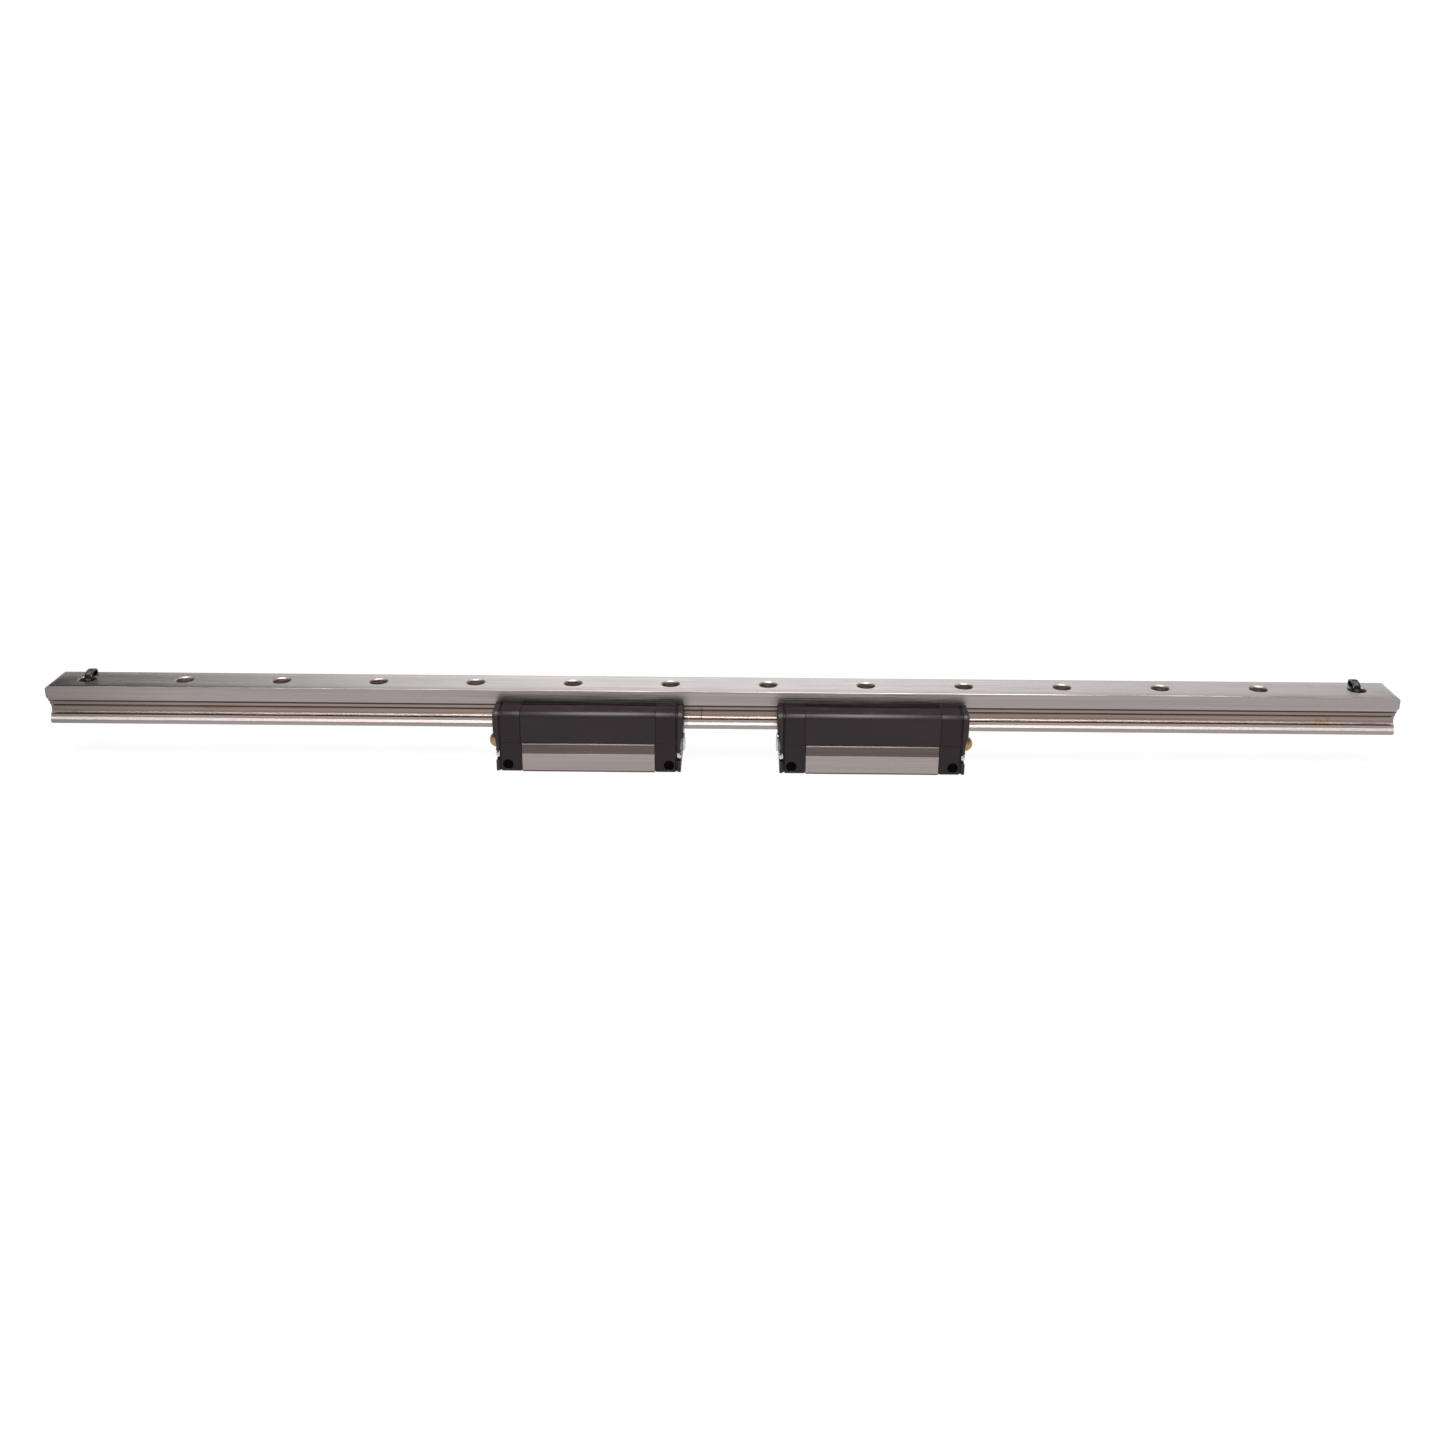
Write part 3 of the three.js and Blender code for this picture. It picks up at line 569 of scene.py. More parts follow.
def rail_end_limits():
    """Two solids whose common part has the rounded ends of the rail, seen from side and top."""
    reach = RAIL_HALF_LENGTH
    flange = below(FLANK_DEPTH + 0.05)
    below_flange = flange - 0.3
    corner = 3.2
    set_back = 0.6
    overlap = 0.4
    side = rounded([
        (-reach + set_back, RAIL_HEAD, 1.4), (reach - set_back, RAIL_HEAD, 1.4),
        (reach - set_back, below_flange, 0.3), (reach - corner + overlap, below_flange, 0),
        (reach - corner + overlap, flange, 0), (reach, flange, corner),
        (reach, RAIL_BASE, corner), (-reach, RAIL_BASE, corner), (-reach, flange, corner),
        (-reach + corner - overlap, flange, 0), (-reach + corner - overlap, below_flange, 0),
        (-reach + set_back, below_flange, 0.3)], 6)
    top = rounded([(-reach, -RAIL_HALF_WIDTH, 1.0), (reach, -RAIL_HALF_WIDTH, 1.0),
                   (reach, RAIL_HALF_WIDTH, 1.0), (-reach, RAIL_HALF_WIDTH, 1.0)], 4)
    seen_from_side = prism("limit", side, -30, 30)
    seen_from_side.data.transform(Matrix(((0, 1, 0, 0), (1, 0, 0, 0), (0, 0, 1, 0), (0, 0, 0, 1))))
    seen_from_top = prism("limit", top, 10, 60)
    seen_from_top.data.transform(Matrix(((0, 1, 0, 0), (0, 0, 1, 0), (1, 0, 0, 0), (0, 0, 0, 1))))
    for limit in (seen_from_side, seen_from_top):
        face_outwards(limit)
    return seen_from_side, seen_from_top


def make_rail(materials):
    half = [(RAIL_HALF_WIDTH, RAIL_BASE, 0.5), *rail_flank()]
    rail = prism("ground_rail", rounded(mirrored(half), 4), -RAIL_HALF_LENGTH, RAIL_HALF_LENGTH)
    for limit in rail_end_limits():
        combine(rail, [limit], "INTERSECT")
    count = round((2 * RAIL_HALF_LENGTH - 2 * RAIL_END) / RAIL_PITCH) + 1
    cut(rail, [rail_hole(-RAIL_HALF_LENGTH + RAIL_END + i * RAIL_PITCH) for i in range(count)])
    paint(rail, materials["rail_steel"], materials["raceway_steel"],
          materials["painted_shade_steel"], materials["bored_steel"])
    raceway, painted_shade, bored = 1, 2, 3
    for face in rail.data.polygons:
        y = abs(face.center.y) / MM
        depth = RAIL_BASE - face.center.z / MM
        # The holes' walls and their chamfers, but not the base face round them.
        if y < COUNTERBORE_RADIUS + 0.1 and abs(face.normal.z) < 0.95 and depth > 0.02:
            face.material_index = bored
        elif abs(face.normal.x) > 0.3:
            continue
        # Painted shade: the flange's underside is dark steel.
        elif FLANK_DEPTH < depth < NECK_START and y > NECK_HALF_WIDTH and face.normal.z < -0.3:
            face.material_index = painted_shade
        elif 12 < depth < 20 and 8 < y < 11.2:
            face.material_index = raceway
        # The bevel between the groove and the head is matt like the holes.
        elif GROOVE_LIP - 0.1 < depth < HEAD_START + 0.1 and y > LIP_HALF_WIDTH + 0.02:
            face.material_index = bored
    smooth(rail)
    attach(rail, "root")
    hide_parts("rail")


# ------------------------------------------------------------------ cable ties

TIE_LOOP = [
    (0.5, 24), (0.5, 35), (0.3, 45), (1.6, 48.3), (6, 49.3), (11, 49.2), (14.8, 48.1),
    (15.8, 45), (15.6, 37), (15.6, 29), (15.4, 22), (12.6, 20.4), (7, 20), (2.4, 20.6)]
TIE_WIDTH = 5
TIE_THICKNESS = 1.2
TIE_LEAN = 0.15
TIE_STEPS = 220


def closed_curve(points, steps):
    """Catmull-Rom points and tangents round a closed loop in Y and Z."""
    placed = []
    count = len(points)
    for i in range(steps):
        t = i / steps * count
        k = int(t)
        u = t - k
        p = [Vector(points[(k + n) % count]) for n in (-1, 0, 1, 2)]
        here = 0.5 * (2 * p[1] + (p[2] - p[0]) * u
                      + (2 * p[0] - 5 * p[1] + 4 * p[2] - p[3]) * u * u
                      + (3 * p[1] - p[0] - 3 * p[2] + p[3]) * u ** 3)
        slope = 0.5 * ((p[2] - p[0]) + 2 * (2 * p[0] - 5 * p[1] + 4 * p[2] - p[3]) * u
                       + 3 * (3 * p[1] - p[0] - 3 * p[2] + p[3]) * u * u)
        placed.append((here, slope.normalized()))
    return placed


def strap_section(ridge):
    """A strap section with rounded edges: (across the strap, out of the loop)."""
    side = TIE_WIDTH / 2
    thick = TIE_THICKNESS / 2
    return [(-side, 0), (-side + 0.3, thick * 0.8), (-side + 0.9, thick),
            (-side + 1.1, thick - ridge), (side - 1.1, thick - ridge), (side - 0.9, thick),
            (side - 0.3, thick * 0.8), (side, 0), (side - 0.5, -thick), (-side + 0.5, -thick)]


def make_strap(name):
    """The closed strap, with ridges across it from its changing thickness."""
    vertices = []
    for i, (here, along) in enumerate(closed_curve(TIE_LOOP, TIE_STEPS)):
        out = Vector((-along.y, along.x))
        for across, outward in strap_section(0.3 if i % 2 else 0.12):
            vertices.append((across, here.x + out.x * outward, here.y + out.y * outward))
    count = len(strap_section(0))
    faces = []
    for i in range(TIE_STEPS):
        for j in range(count):
            k = (j + 1) % count
            n = (i + 1) % TIE_STEPS
            faces.append((i * count + j, i * count + k, n * count + k, n * count + j))
    return new_object(name, vertices, faces)


def make_cable_tie(side, materials):
    tie = make_strap(f"{side}_tie_strap")
    lock = prism("lock", rounded([(15.7, 26.75, 0.6), (20.3, 26.75, 1.4), (20.3, 33.25, 1.4),
                                  (15.7, 33.25, 0.6)], 4), -3.75, 3.75)
    soften_ends(lock, 0.6, 3)
    cut(lock, [box("slot", (-2.6, 17.4, 20), (2.6, 19.2, 40))])
    tail = prism("tail", rounded([(17.8, 19.5, 0.3), (19, 19.5, 0.3), (19, 33.9, 0.3),
                                  (17.8, 33.9, 0.3)], 2), -2.4, 2.4)
    soften_ends(tail, 0.3)
    combine(lock, [tail], "UNION")
    combine(tie, [lock], "UNION")
    outward = OUTWARD[side]
    x = outward * (RAIL_HALF_LENGTH - RAIL_END)
    tie.data.transform(Matrix.Translation((x * MM, 0, 0)) @ Matrix.Rotation(
        -outward * TIE_LEAN, 4, "Z"))
    paint(tie, materials["tie_nylon"])
    smooth(tie, 35)
    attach(tie, "root")
    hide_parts(f"{side}_cable_tie")


# ------------------------------------------------------------------ carriage: steel block


def cross_hole(name, radius, start, y, z, sides):
    """Cutter along X for a bore, a port or a screw hole, which ends beyond the seal."""
    profile = [(start, 0), (start, radius), (BEYOND_SEAL, radius), (BEYOND_SEAL, 0)]
    return turned(name, profile, "X", (0, y, z), sides)


def mount_hole(x, y):
    """Blind tapped hole: a lead-in chamfer and thread crests down to the drill point."""
    thread_pitch = 1.25
    profile = [(-1, 0), (-1, 4.4), (0, 4.4)]
    depth = 0.6
    while depth < 10:
        profile += [(depth, 3.45), (depth + 0.62, 4.0)]
        depth += thread_pitch
    profile += [(depth, 3.4), (depth + 0.6, 3.4), (depth + 2, 0)]
    return turned("hole", profile, "Z", (x, y, 0), 32)


def make_block(materials):
    """The steel body: a web with two legs, whose grooves stand opposite the rail's."""
    lip = 13.6
    web_top = 20.2
    leg_top = 36.6
    leg_outside = 26.2
    step = SHOULDER - SHOULDER_STEP
    reach = math.sqrt(RACEWAY_RADIUS ** 2 - (lip - ROW_Y) ** 2)
    angle = math.atan2(reach, lip - ROW_Y)
    half = [
        (HALF_WIDTH, 0, BOTTOM_EDGE), (HALF_WIDTH, BAND_LOW - BAND_DEPTH, 0),
        (HALF_WIDTH - BAND_DEPTH, BAND_LOW, 0), (HALF_WIDTH - BAND_DEPTH, BAND_HIGH, 0),
        (HALF_WIDTH, BAND_HIGH + BAND_DEPTH, 0), (HALF_WIDTH, step - 0.3, 0.05),
        (HALF_WIDTH - 0.3, step, 0.05), (leg_outside, step, 0),
        (leg_outside, leg_top, 0.8), (lip, leg_top, 0.6),
        *arc_points((ROW_Y, ROW_Z), RACEWAY_RADIUS, angle, -angle, 12),
        (lip, web_top, 1.0)]
    block = prism("block", rounded(mirrored(half), 4), -BLOCK_HALF_LENGTH, BLOCK_HALF_LENGTH)
    soften_ends(block, 0.3)
    tools = [cross_hole("bore", RACEWAY_RADIUS, -BEYOND_SEAL, side * RETURN_Y, ROW_Z, 32)
             for side in (-1, 1)]
    for x in (-MOUNT_HOLE_XY, MOUNT_HOLE_XY):
        for y in (-MOUNT_HOLE_XY, MOUNT_HOLE_XY):
            tools.append(mount_hole(x, y))
    cut(block, tools)
    paint(block, materials["block_steel"], materials["flank_shade_steel"], materials["painted_shade_steel"])
    flank_shade, painted_shade = 1, 2
    for face in block.data.polygons:
        z = face.center.z / MM
        y = abs(face.center.y) / MM
        # Painted shade: the side band and the shoulder's chamfer are darker steel.
        in_band = BAND_LOW - 0.05 < z < BAND_HIGH + 0.05 and y > HALF_WIDTH - 0.3
        if in_band and abs(face.normal.x) < 0.5:
            face.material_index = flank_shade
        elif z > step - 0.35 and y > HALF_WIDTH - 0.35 and face.normal.z > 0.2:
            face.material_index = flank_shade
        # Painted contact shadow: the block's bottom chamfers are dark steel.
        elif z < BOTTOM_EDGE and -0.97 < face.normal.z < -0.15:
            face.material_index = painted_shade
    return smooth(block)


# ------------------------------------------------------------------ carriage: plastic shell


def shell_corners(opening, inset=0.0):
    """The outline of an end piece, where the opening lists the corners towards the rail."""
    side = HALF_WIDTH - 0.1 - inset
    return rounded(mirrored([
        (side, CAP_FLOOR + inset, 0.6), (side, SHELL_TOP - inset, 4 - inset), *opening]), 8)


def turn_channel(side):
    """The half ring in which the balls turn from the loaded row to the return row."""
    rings, sides = 24, 20
    vertices = []
    for i in range(rings):
        turn = 2 * math.pi * (i + 0.5) / rings
        for j in range(sides):
            angle = 2 * math.pi * j / sides
            out = TURN_RADIUS + RACEWAY_RADIUS * math.cos(angle)
            vertices.append((CAP_START + out * math.sin(turn),
                             side * (ROW_Y + RETURN_Y) / 2 + out * math.cos(turn),
                             ROW_Z + RACEWAY_RADIUS * math.sin(angle)))
    faces = []
    for i in range(rings):
        for j in range(sides):
            n, k = (i + 1) % rings, (j + 1) % sides
            faces.append((i * sides + j, i * sides + k, n * sides + k, n * sides + j))
    return new_object("channel", vertices, faces)


def make_end_cap(materials):
    """The plastic end piece, cut out of a larger block so that its outer edges come out round."""
    opening = [(14.9, SHELL_TOP, 0.5), (14.9, 38.0, 0), (11.6, 36.4, 0.3), (11.6, 27.6, 0.3),
               (13.2, 25.8, 0.3), (13.2, 21.2, 0.6)]
    cap = prism("end_cap", shell_corners(opening, -0.5), CAP_START, CAP_END + 1)
    skirt_low, skirt_high = 0.9, 18.6
    skirt = prism("skirt", rounded([
        (HALF_WIDTH, skirt_low, 0.4), (HALF_WIDTH, skirt_high, 0.4),
        (-HALF_WIDTH, skirt_high, 0.4), (-HALF_WIDTH, skirt_low, 0.4)], 3), SKIRT_START, 42)
    combine(cap, [skirt], "UNION")
    inside = 30
    face = HALF_WIDTH - 0.1
    wall = SIDE_PORT_RADIUS + 0.12
    mouth = SIDE_PORT_RADIUS + 0.3
    tools = [cross_hole("port", PORT_RADIUS, inside, 0, PORT_Z, 32)]
    for side in (-1, 1):
        tools.append(turn_channel(side))
        tools.append(cross_hole("screw_hole", SCREW_HOLE_RADIUS, inside, side * SCREW_Y,
                                SCREW_Z, 20))
        tools.append(turned("side_port", [
            (side * (face - 3.3), 0), (side * (face - 3.3), wall), (side * (face - 0.2), wall),
            (side * face, mouth), (side * (face + 1), mouth), (side * (face + 1), 0)], "Y",
            (SIDE_PORT_X, 0, SIDE_PORT_Z), 40))
        low, high = sorted((side * (face - 0.16), side * (face + 1)))
        tools.append(box("seam", (CAP_START - 2, low, SHOULDER - 0.08),
                         (CAP_END + 1, high, SHOULDER + 0.10)))
    cut(cap, tools)
    envelope = prism("envelope", shell_corners([]), SKIRT_START, CAP_END)
    combine(cap, [soften_ends(envelope, 0.35)], "INTERSECT")
    paint(cap, materials["black_plastic"])
    return smooth(cap)


def make_backing_plate(materials):
    """The thin sheet between the end cap and the end seal."""
    gap, inset, inside = 1.1, 0.4, 50
    opening = [(RAIL_HALF_WIDTH + gap, SHELL_TOP, 0)] + rail_flank(gap)
    plate = prism("backing_plate", shell_corners(opening, inset), PLATE_START, PLATE_END)
    tools = [cross_hole("port", PORT_RADIUS, inside, 0, PORT_Z, 32)]
    for side in (-1, 1):
        tools.append(cross_hole("screw_hole", SCREW_HOLE_RADIUS, inside, side * SCREW_Y,
                                SCREW_Z, 20))
    cut(plate, tools)
    # Painted shade: near-black steel in the seam between cap and seal.
    paint(plate, materials["plate_steel"])
    return smooth(plate)


def seal_contour():
    """Everything beyond the seal's outer face, which dips beside the port and at the foot."""
    foot = SEAL_END - 1.5
    return [(CAP_FLOOR - 2, foot), (13.5, foot), (17, foot - 0.35), (20.5, foot + 0.05),
            (23.5, SEAL_END - 0.75), (26, SEAL_END), (45, SEAL_END), (45, 62), (CAP_FLOOR - 2, 62)]


def make_end_seal(materials):
    """The rubber wiper, with a dished outer face and a notch round each end screw."""
    gap, inside = 0.5, 50
    wiper = [(RAIL_HALF_WIDTH + gap, SHELL_TOP, 0.3)] + rail_flank(gap)
    seal = prism("end_seal", shell_corners(wiper), SEAL_START, SEAL_END)
    soften_ends(seal, 0.7, 3)
    contour = prism("contour", seal_contour(), -40, 40)
    contour.data.transform(Matrix(((0, 0, 1, 0), (1, 0, 0, 0), (0, 1, 0, 0), (0, 0, 0, 1))))
    face_outwards(contour)
    cut(seal, [contour])
    tools = [cross_hole("port", PORT_RADIUS + 0.1, inside, 0, PORT_Z, 32)]
    notch = [(inside, 0), (inside, 3.6), (54.6, 3.6), (SEAL_END, 4.3), (BEYOND_SEAL, 4.3),
             (BEYOND_SEAL, 0)]
    for side in (-1, 1):
        tools.append(turned("notch", notch, "X", (0, side * (SCREW_Y + 0.7), SCREW_Z), 36))
    cut(seal, tools)
    paint(seal, materials["seal_rubber"])
    return smooth(seal)


def make_side_cover(materials):
    """The plastic skin over a steel leg, with the long rounded edge."""
    skin = 26.4
    foot = SHOULDER - 0.35
    side = HALF_WIDTH - 0.4
    inner_edge = 16.4
    shelf_y, shelf_z = 18.3, 37.75
    on_leg = 36.8
    outline = rounded([
        (skin, foot, 0), (side, foot, 0.25), (side, SHELL_TOP, 4),
        (inner_edge, SHELL_TOP, 0.3), (inner_edge, shelf_z, 0), (shelf_y, shelf_z, 0),
        (shelf_y, on_leg, 0), (skin, on_leg, 0)], 8)
    cover = prism("side_cover", outline, -COVER_HALF_LENGTH, COVER_HALF_LENGTH)
    soften_ends(cover, 0.25)
    paint(cover, materials["cover_plastic"])
    return smooth(cover)


# ------------------------------------------------------------------ carriage: small pieces


def dome_profile(start, radius, height, steps, end=0.86):
    """Profile points of a dome that stops a little before its top."""
    points = []
    for i in range(steps + 1):
        angle = math.pi / 2 * i / steps * end
        points.append((start + height * math.sin(angle), radius * math.cos(angle)))
    return points


def make_nipple(materials):
    shoulder = SEAL_END + 1.6
    dome = dome_profile(shoulder + 0.5, 4.8, 4.8, 12)
    profile = [(44, 0), (44, 2.6), (44.6, 3), (SEAL_END - 1.3, 3), (SEAL_END - 1.3, 3.9),
               (SEAL_END + 0.9, 4.05), (SEAL_END + 1.3, 3.5), (shoulder, 4.5), *dome,
               (shoulder + 4.3, 1.1), (shoulder + 4.1, 0.9), (shoulder + 4.5, 0.5),
               (shoulder + 4.6, 0)]
    return smooth(paint(turned("nipple", profile, "X", (0, 0, PORT_Z)), materials["brass"]), 40)


def hex_socket(x0, x1, radius, centre):
    """Cutter for a six-sided socket along X."""
    return turned("socket", [(x0, 0), (x0, radius), (x1, radius), (x1, 0)], "X", centre, 6)


def make_closing_plug(materials):
    seat = SEAL_END - 1.4
    profile = [(46, 0), (46, 2.6), (46.6, 3), (seat, 3), (seat, 5.8), (seat + 0.2, 6),
               (seat + 0.9, 6), (seat + 1.2, 5.85), (seat + 1.5, 5.2), (seat + 1.5, 0)]
    plug = turned("closing_plug", profile, "X", (0, 0, PORT_Z))
    cut(plug, [hex_socket(seat - 2, seat + 3, 2.4, (0, 0, PORT_Z))])
    return smooth(paint(plug, materials["zinc"]), 35)


def make_end_screw(side, materials):
    seat = SEAL_START
    profile = [(34.2, 0), (34.7, 1.2), (seat, 1.2), (seat, 2.5), (seat + 0.2, 2.6),
               (seat + 0.9, 2.55), (seat + 1.6, 2.2), (seat + 2.1, 1.7), (seat + 2.4, 1.35),
               (seat + 2.4, 0)]
    centre = (0, side * SCREW_Y, SCREW_Z)
    screw = turned("screw", profile, "X", centre, 32)
    cut(screw, [hex_socket(seat + 0.9, seat + 4, 1.15, centre)])
    return smooth(paint(screw, materials["zinc"]), 40)


def make_side_port_plug(side, materials):
    face = side * (HALF_WIDTH - 0.2)
    rim = SIDE_PORT_RADIUS
    profile = [(-2.8, 0), (-2.8, rim - 0.2), (-2.6, rim), (-0.25, rim), (0, rim - 0.25), (0, 1.5),
               (-0.25, 1.3), (-0.25, 0)]
    placed = [(face + side * along, radius) for along, radius in profile]
    plug = turned("plug", placed, "Y", (SIDE_PORT_X, 0, SIDE_PORT_Z), 36)
    return smooth(paint(plug, materials["plug_rubber"]), 35)


def circuit_points(count):
    """Places spread evenly round one circuit: two straight rows and two half turns."""
    straight = 2 * CAP_START
    length = 2 * (straight + math.pi * TURN_RADIUS)
    centre_y = (ROW_Y + RETURN_Y) / 2
    placed = []
    for i in range(count):
        s = length * i / count
        sign = 1 if s <= length / 2 else -1
        s -= 0 if sign > 0 else length / 2
        angle = max(0.0, s - straight) / TURN_RADIUS
        x = min(s, straight) - CAP_START + TURN_RADIUS * math.sin(angle)
        placed.append(Vector((sign * x, centre_y - sign * TURN_RADIUS * math.cos(angle), ROW_Z)))
    return placed


def make_balls(materials):
    bm = bmesh.new()
    for place in circuit_points(BALLS_PER_CIRCUIT):
        bmesh.ops.create_uvsphere(bm, u_segments=18, v_segments=12, radius=BALL_RADIUS * MM,
                                  matrix=Matrix.Translation(place * MM))
    mesh = bpy.data.meshes.new("balls")
    bm.to_mesh(mesh)
    bm.free()
    balls = bpy.data.objects.new("balls", mesh)
    bpy.context.collection.objects.link(balls)
    return smooth(paint(balls, materials["ball_steel"]), 60)


def make_cage(materials):
    """The flexible band that links the balls: a closed strip, widened between balls."""
    steps_per_ball = 6
    steps = BALLS_PER_CIRCUIT * steps_per_ball
    places = circuit_points(steps)
    vertices = []
    for i, here in enumerate(places):
        along = (places[(i + 1) % steps] - places[i - 1]).normalized()
        out = Vector((along.y, -along.x, 0))
        swell = 0.55 + 0.45 * (1 - math.cos(2 * math.pi * i / steps_per_ball)) / 2
        for a, b in ((0.35, 2.9), (-0.35, 2.9), (-0.35, -2.9), (0.35, -2.9)):
            vertices.append(tuple(here + out * (a * swell) + Vector((0, 0, b * swell))))
    faces = []
    for i in range(steps):
        for j in range(4):
            n, k = (i + 1) % steps, (j + 1) % 4
            faces.append((i * 4 + j, i * 4 + k, n * 4 + k, n * 4 + j))
    return smooth(paint(new_object("cage", vertices, faces), materials["cage_plastic"]), 35)


# ------------------------------------------------------------------ carriage assembly


def place_copy(source, name, carriage, half_turn, node):
    """A copy of a piece in one carriage, turned by half a turn for the opposite end."""
    piece = bpy.data.objects.new(name, source.data.copy())
    bpy.context.collection.objects.link(piece)
    spin = Matrix.Rotation(math.pi if half_turn else 0.0, 4, "Z")
    piece.data.transform(Matrix.Translation((CARRIAGE_X[carriage] * MM, 0, 0)) @ spin)
    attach(piece, f"{carriage}_carriage")
    if node:
        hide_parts(node)
    return piece


def make_carriages(materials):
    block = make_block(materials)
    cap = make_end_cap(materials)
    plate = make_backing_plate(materials)
    seal = make_end_seal(materials)
    cover = make_side_cover(materials)
    nipple = make_nipple(materials)
    closing = make_closing_plug(materials)
    screws = {side: make_end_screw(side, materials) for side in (-1, 1)}
    plugs = {side: make_side_port_plug(side, materials) for side in (-1, 1)}
    balls = make_balls(materials)
    cage = make_cage(materials)
    for name, outward in OUTWARD.items():
        place_copy(block, f"{name}_steel_body", name, False, f"{name}_block")
        for end in ("outer", "inner"):
            flip = (end == "outer") != (outward > 0)
            start = f"{name}_{end}"
            place_copy(cap, f"{start}_cap_shell", name, flip, f"{start}_end_cap")
            place_copy(plate, f"{start}_thin_plate", name, flip, f"{start}_backing_plate")
            place_copy(seal, f"{start}_wiper", name, flip, f"{start}_end_seal")
            for side, direction in (("front", -1), ("rear", 1)):
                way = -direction if flip else direction
                place_copy(screws[way], f"{start}_{side}_socket_screw", name, flip,
                           f"{start}_{side}_end_screw")
                place_copy(plugs[way], f"{start}_{side}_disc_plug", name, flip,
                           f"{start}_{side}_port_plug")
        place_copy(nipple, f"{name}_lube_nipple", name, outward < 0,
                   f"{name}_grease_nipple")
        place_copy(closing, f"{name}_hex_plug", name, outward > 0, f"{name}_closing_plug")
        for side in ("front", "rear"):
            flip = side == "front"
            place_copy(cover, f"{name}_{side}_cover_shell", name, flip,
                       f"{name}_{side}_side_cover")
            place_copy(balls, f"{name}_{side}_balls", name, flip,
                       f"{name}_{side}_ball_chain")
            place_copy(cage, f"{name}_{side}_ball_cage", name, flip, None)
    for source in (block, cap, plate, seal, cover, nipple, closing, balls, cage,
                   *screws.values(), *plugs.values()):
        bpy.data.objects.remove(source)


def finish_cad_nodes(materials):
    """The CAD nodes that stay as they are get a procedural material."""
    looks = {"side_seal": "seal_rubber", "ball_retainer": "pale_plastic"}
    for name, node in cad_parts.items():
        for ending, look in looks.items():
            if name.endswith(ending):
                paint(node, materials[look])


# ------------------------------------------------------------------ floor and light


def add_floor():
    """A white table that shines evenly by itself, so that shadows on it stay faint."""
    material = bpy.data.materials.new("floor")
    material.use_nodes = True
    shader = material.node_tree.nodes["Principled BSDF"]
    shader.inputs["Base Color"].default_value = rgb(0.08, 0.08, 0.08)
    shader.inputs["Emission Color"].default_value = rgb(1.0, 1.0, 1.0)
    shader.inputs["Emission Strength"].default_value = 0.93
    shader.inputs["Roughness"].default_value = 1.0
    shader.inputs["Specular IOR Level"].default_value = 0.0
    reach = 60000
    height = -0.05
    floor = new_object("floor", [(-reach, -reach, height), (reach, -reach, height),
                                 (reach, reach, height), (-reach, reach, height)], [(0, 1, 2, 3)])
    floor.data.materials.append(material)


def add_overhead_light():
    """A weak sun almost overhead, so wide that it casts no hard shadow."""
    data = bpy.data.lights.new("overhead", "SUN")
    data.energy = 1.0
    data.angle = math.radians(60)
    light = bpy.data.objects.new("overhead", data)
    light.rotation_euler = (math.radians(9), 0, 0)
    bpy.context.collection.objects.link(light)


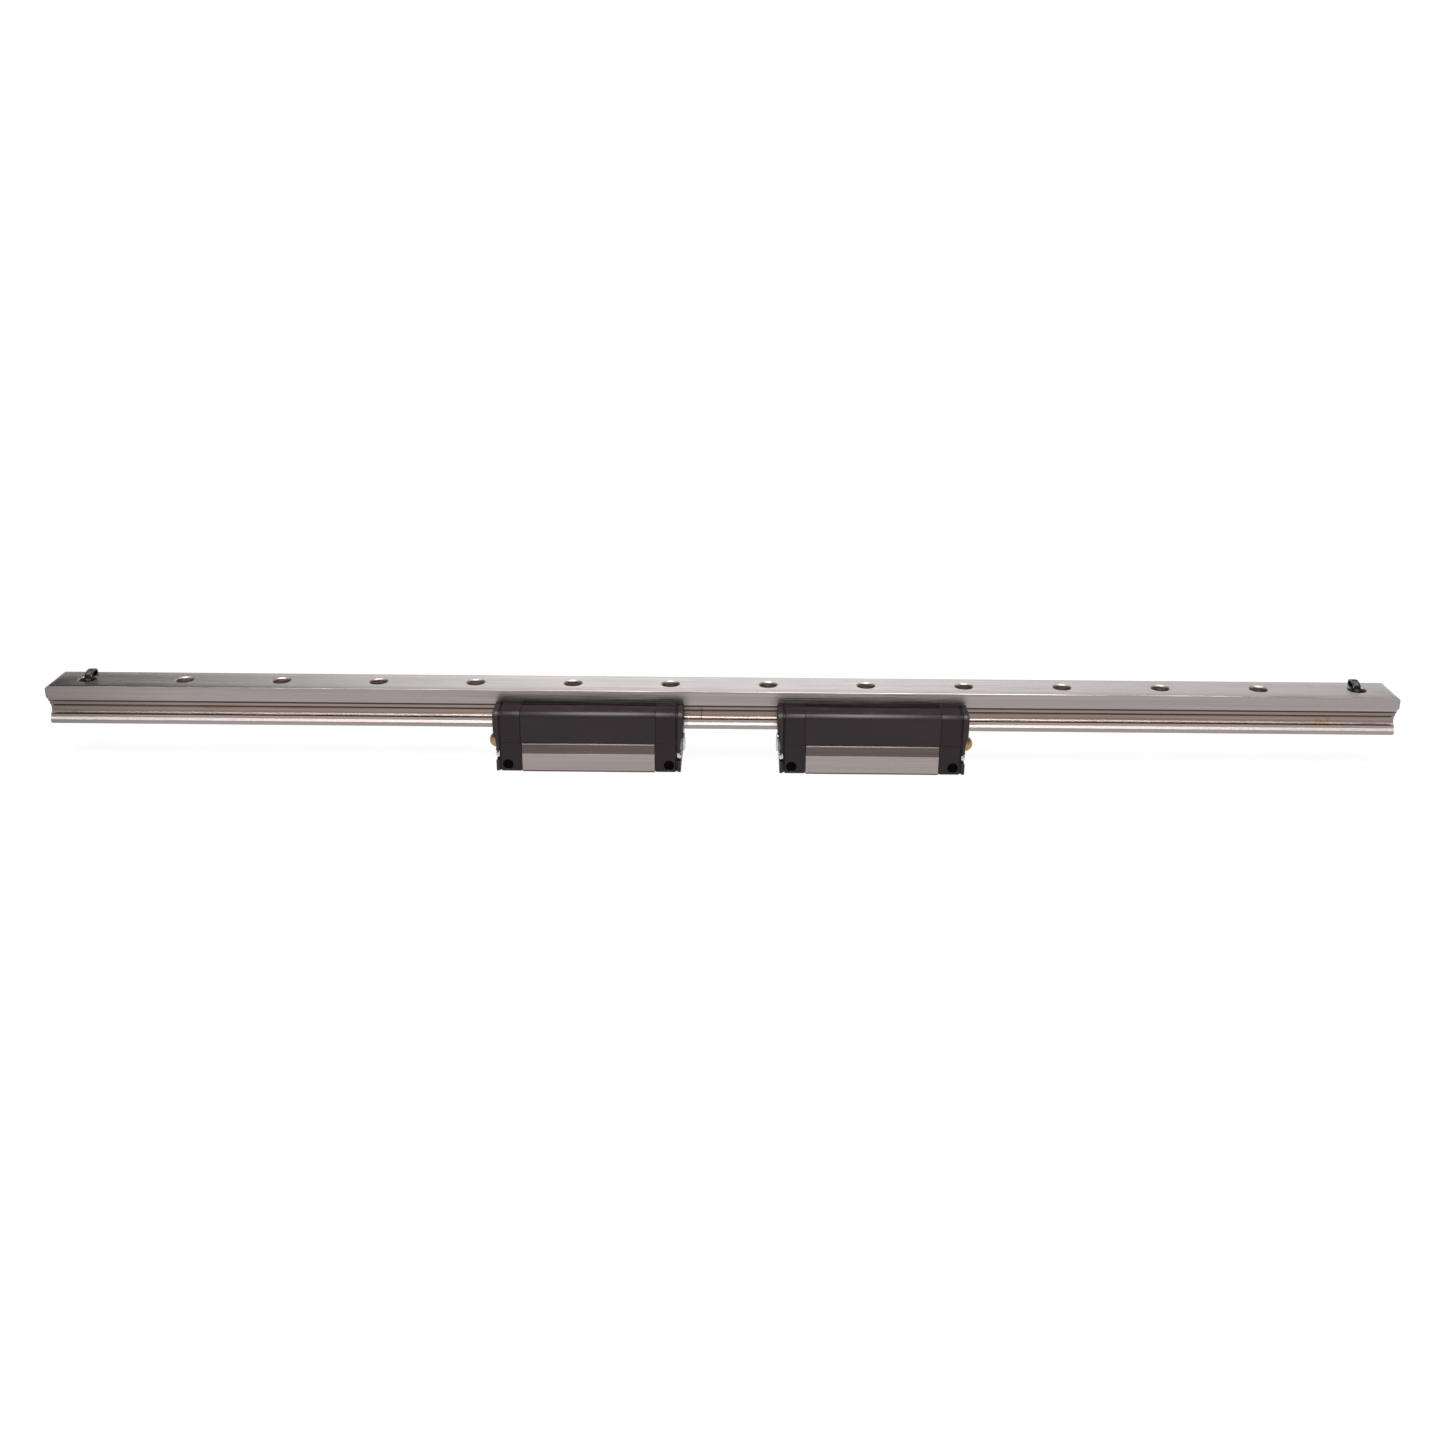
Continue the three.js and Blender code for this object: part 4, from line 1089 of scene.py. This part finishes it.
def add_world():
    """White surroundings, which light the guide and are mirrored in its steel.

    They are even light up to a little above the horizon, a pale wall in front, a bright panel
    behind that fades towards both sides, and a strong lamp overhead, longer from front to back.
    """
    horizon_light = 1.04
    panel_light = 1.76
    front_light = 0.68
    dim_light = 0.10
    strip_light = 10.5
    world = bpy.data.worlds.new("studio")
    world.use_nodes = True
    tree = world.node_tree
    nodes = Nodes(tree)
    direction = nodes.add("ShaderNodeTexCoord").outputs["Generated"]
    axes = nodes.add("ShaderNodeSeparateXYZ", {"Vector": direction})
    far_left = nodes.spread(axes.outputs["X"], -0.385, -0.33, 0.0, 0.26, soft=True)
    near_left = nodes.spread(axes.outputs["X"], -0.33, -0.13, 0.0, 0.74)
    from_left = nodes.math("ADD", far_left, near_left)
    to_right = nodes.spread(axes.outputs["X"], 0.05, 0.42, 1.0, 0.46)
    behind = nodes.spread(axes.outputs["Y"], 0.0, 0.4, 0.0, 1.0, soft=True)
    low_enough = nodes.spread(axes.outputs["Z"], 0.45, 0.75, 1.0, 0.0, soft=True)
    panel = nodes.math("MULTIPLY", nodes.math("MULTIPLY", from_left, to_right),
                       nodes.math("MULTIPLY", behind, low_enough))
    front = nodes.spread(axes.outputs["Y"], -0.5, -0.1, front_light, 0.0, soft=True)
    below_lamp = nodes.spread(axes.outputs["Z"], 0.75, 0.9, 1.0, 0.0, soft=True)
    wall = nodes.math("ADD", nodes.math("MULTIPLY", front, below_lamp), dim_light)
    sideways = nodes.math("ABSOLUTE", axes.outputs["X"], 0.0)
    strip_width = nodes.spread(sideways, 0.19, 0.27, 1.0, 0.0, soft=True)
    strip_near = nodes.spread(axes.outputs["Y"], -0.66, -0.56, 0.0, 1.0, soft=True)
    strip_far = nodes.spread(axes.outputs["Y"], 0.20, 0.32, 1.0, 0.0, soft=True)
    strip_height = nodes.spread(axes.outputs["Z"], 0.5, 0.6, 0.0, strip_light)
    strip = nodes.math("MULTIPLY", strip_width, nodes.math("MULTIPLY", strip_near, strip_far))
    strip = nodes.math("MULTIPLY", strip, strip_height)
    upper = nodes.math("ADD", nodes.math("MULTIPLY", panel, panel_light), wall)
    upper = nodes.math("ADD", upper, strip)
    horizon = nodes.spread(axes.outputs["Z"], 0.11, 0.17, 0.0, 1.0, soft=True)
    mixed = nodes.add("ShaderNodeMix", data_type="FLOAT")
    tree.links.new(horizon, mixed.inputs[0])
    mixed.inputs[2].default_value = horizon_light
    tree.links.new(upper, mixed.inputs[3])
    background = tree.nodes["Background"]
    tree.links.new(mixed.outputs[0], background.inputs["Strength"])
    background.inputs["Color"].default_value = rgb(1.0, 1.0, 1.0)
    bpy.context.scene.world = world


# ------------------------------------------------------------------ the whole scene

add_camera()
looks_of = make_materials()
make_rail(looks_of)
for end_name in OUTWARD:
    make_cable_tie(end_name, looks_of)
make_carriages(looks_of)
finish_cad_nodes(looks_of)
add_floor()
add_overhead_light()
add_world()
bpy.context.scene.view_settings.view_transform = "Standard"
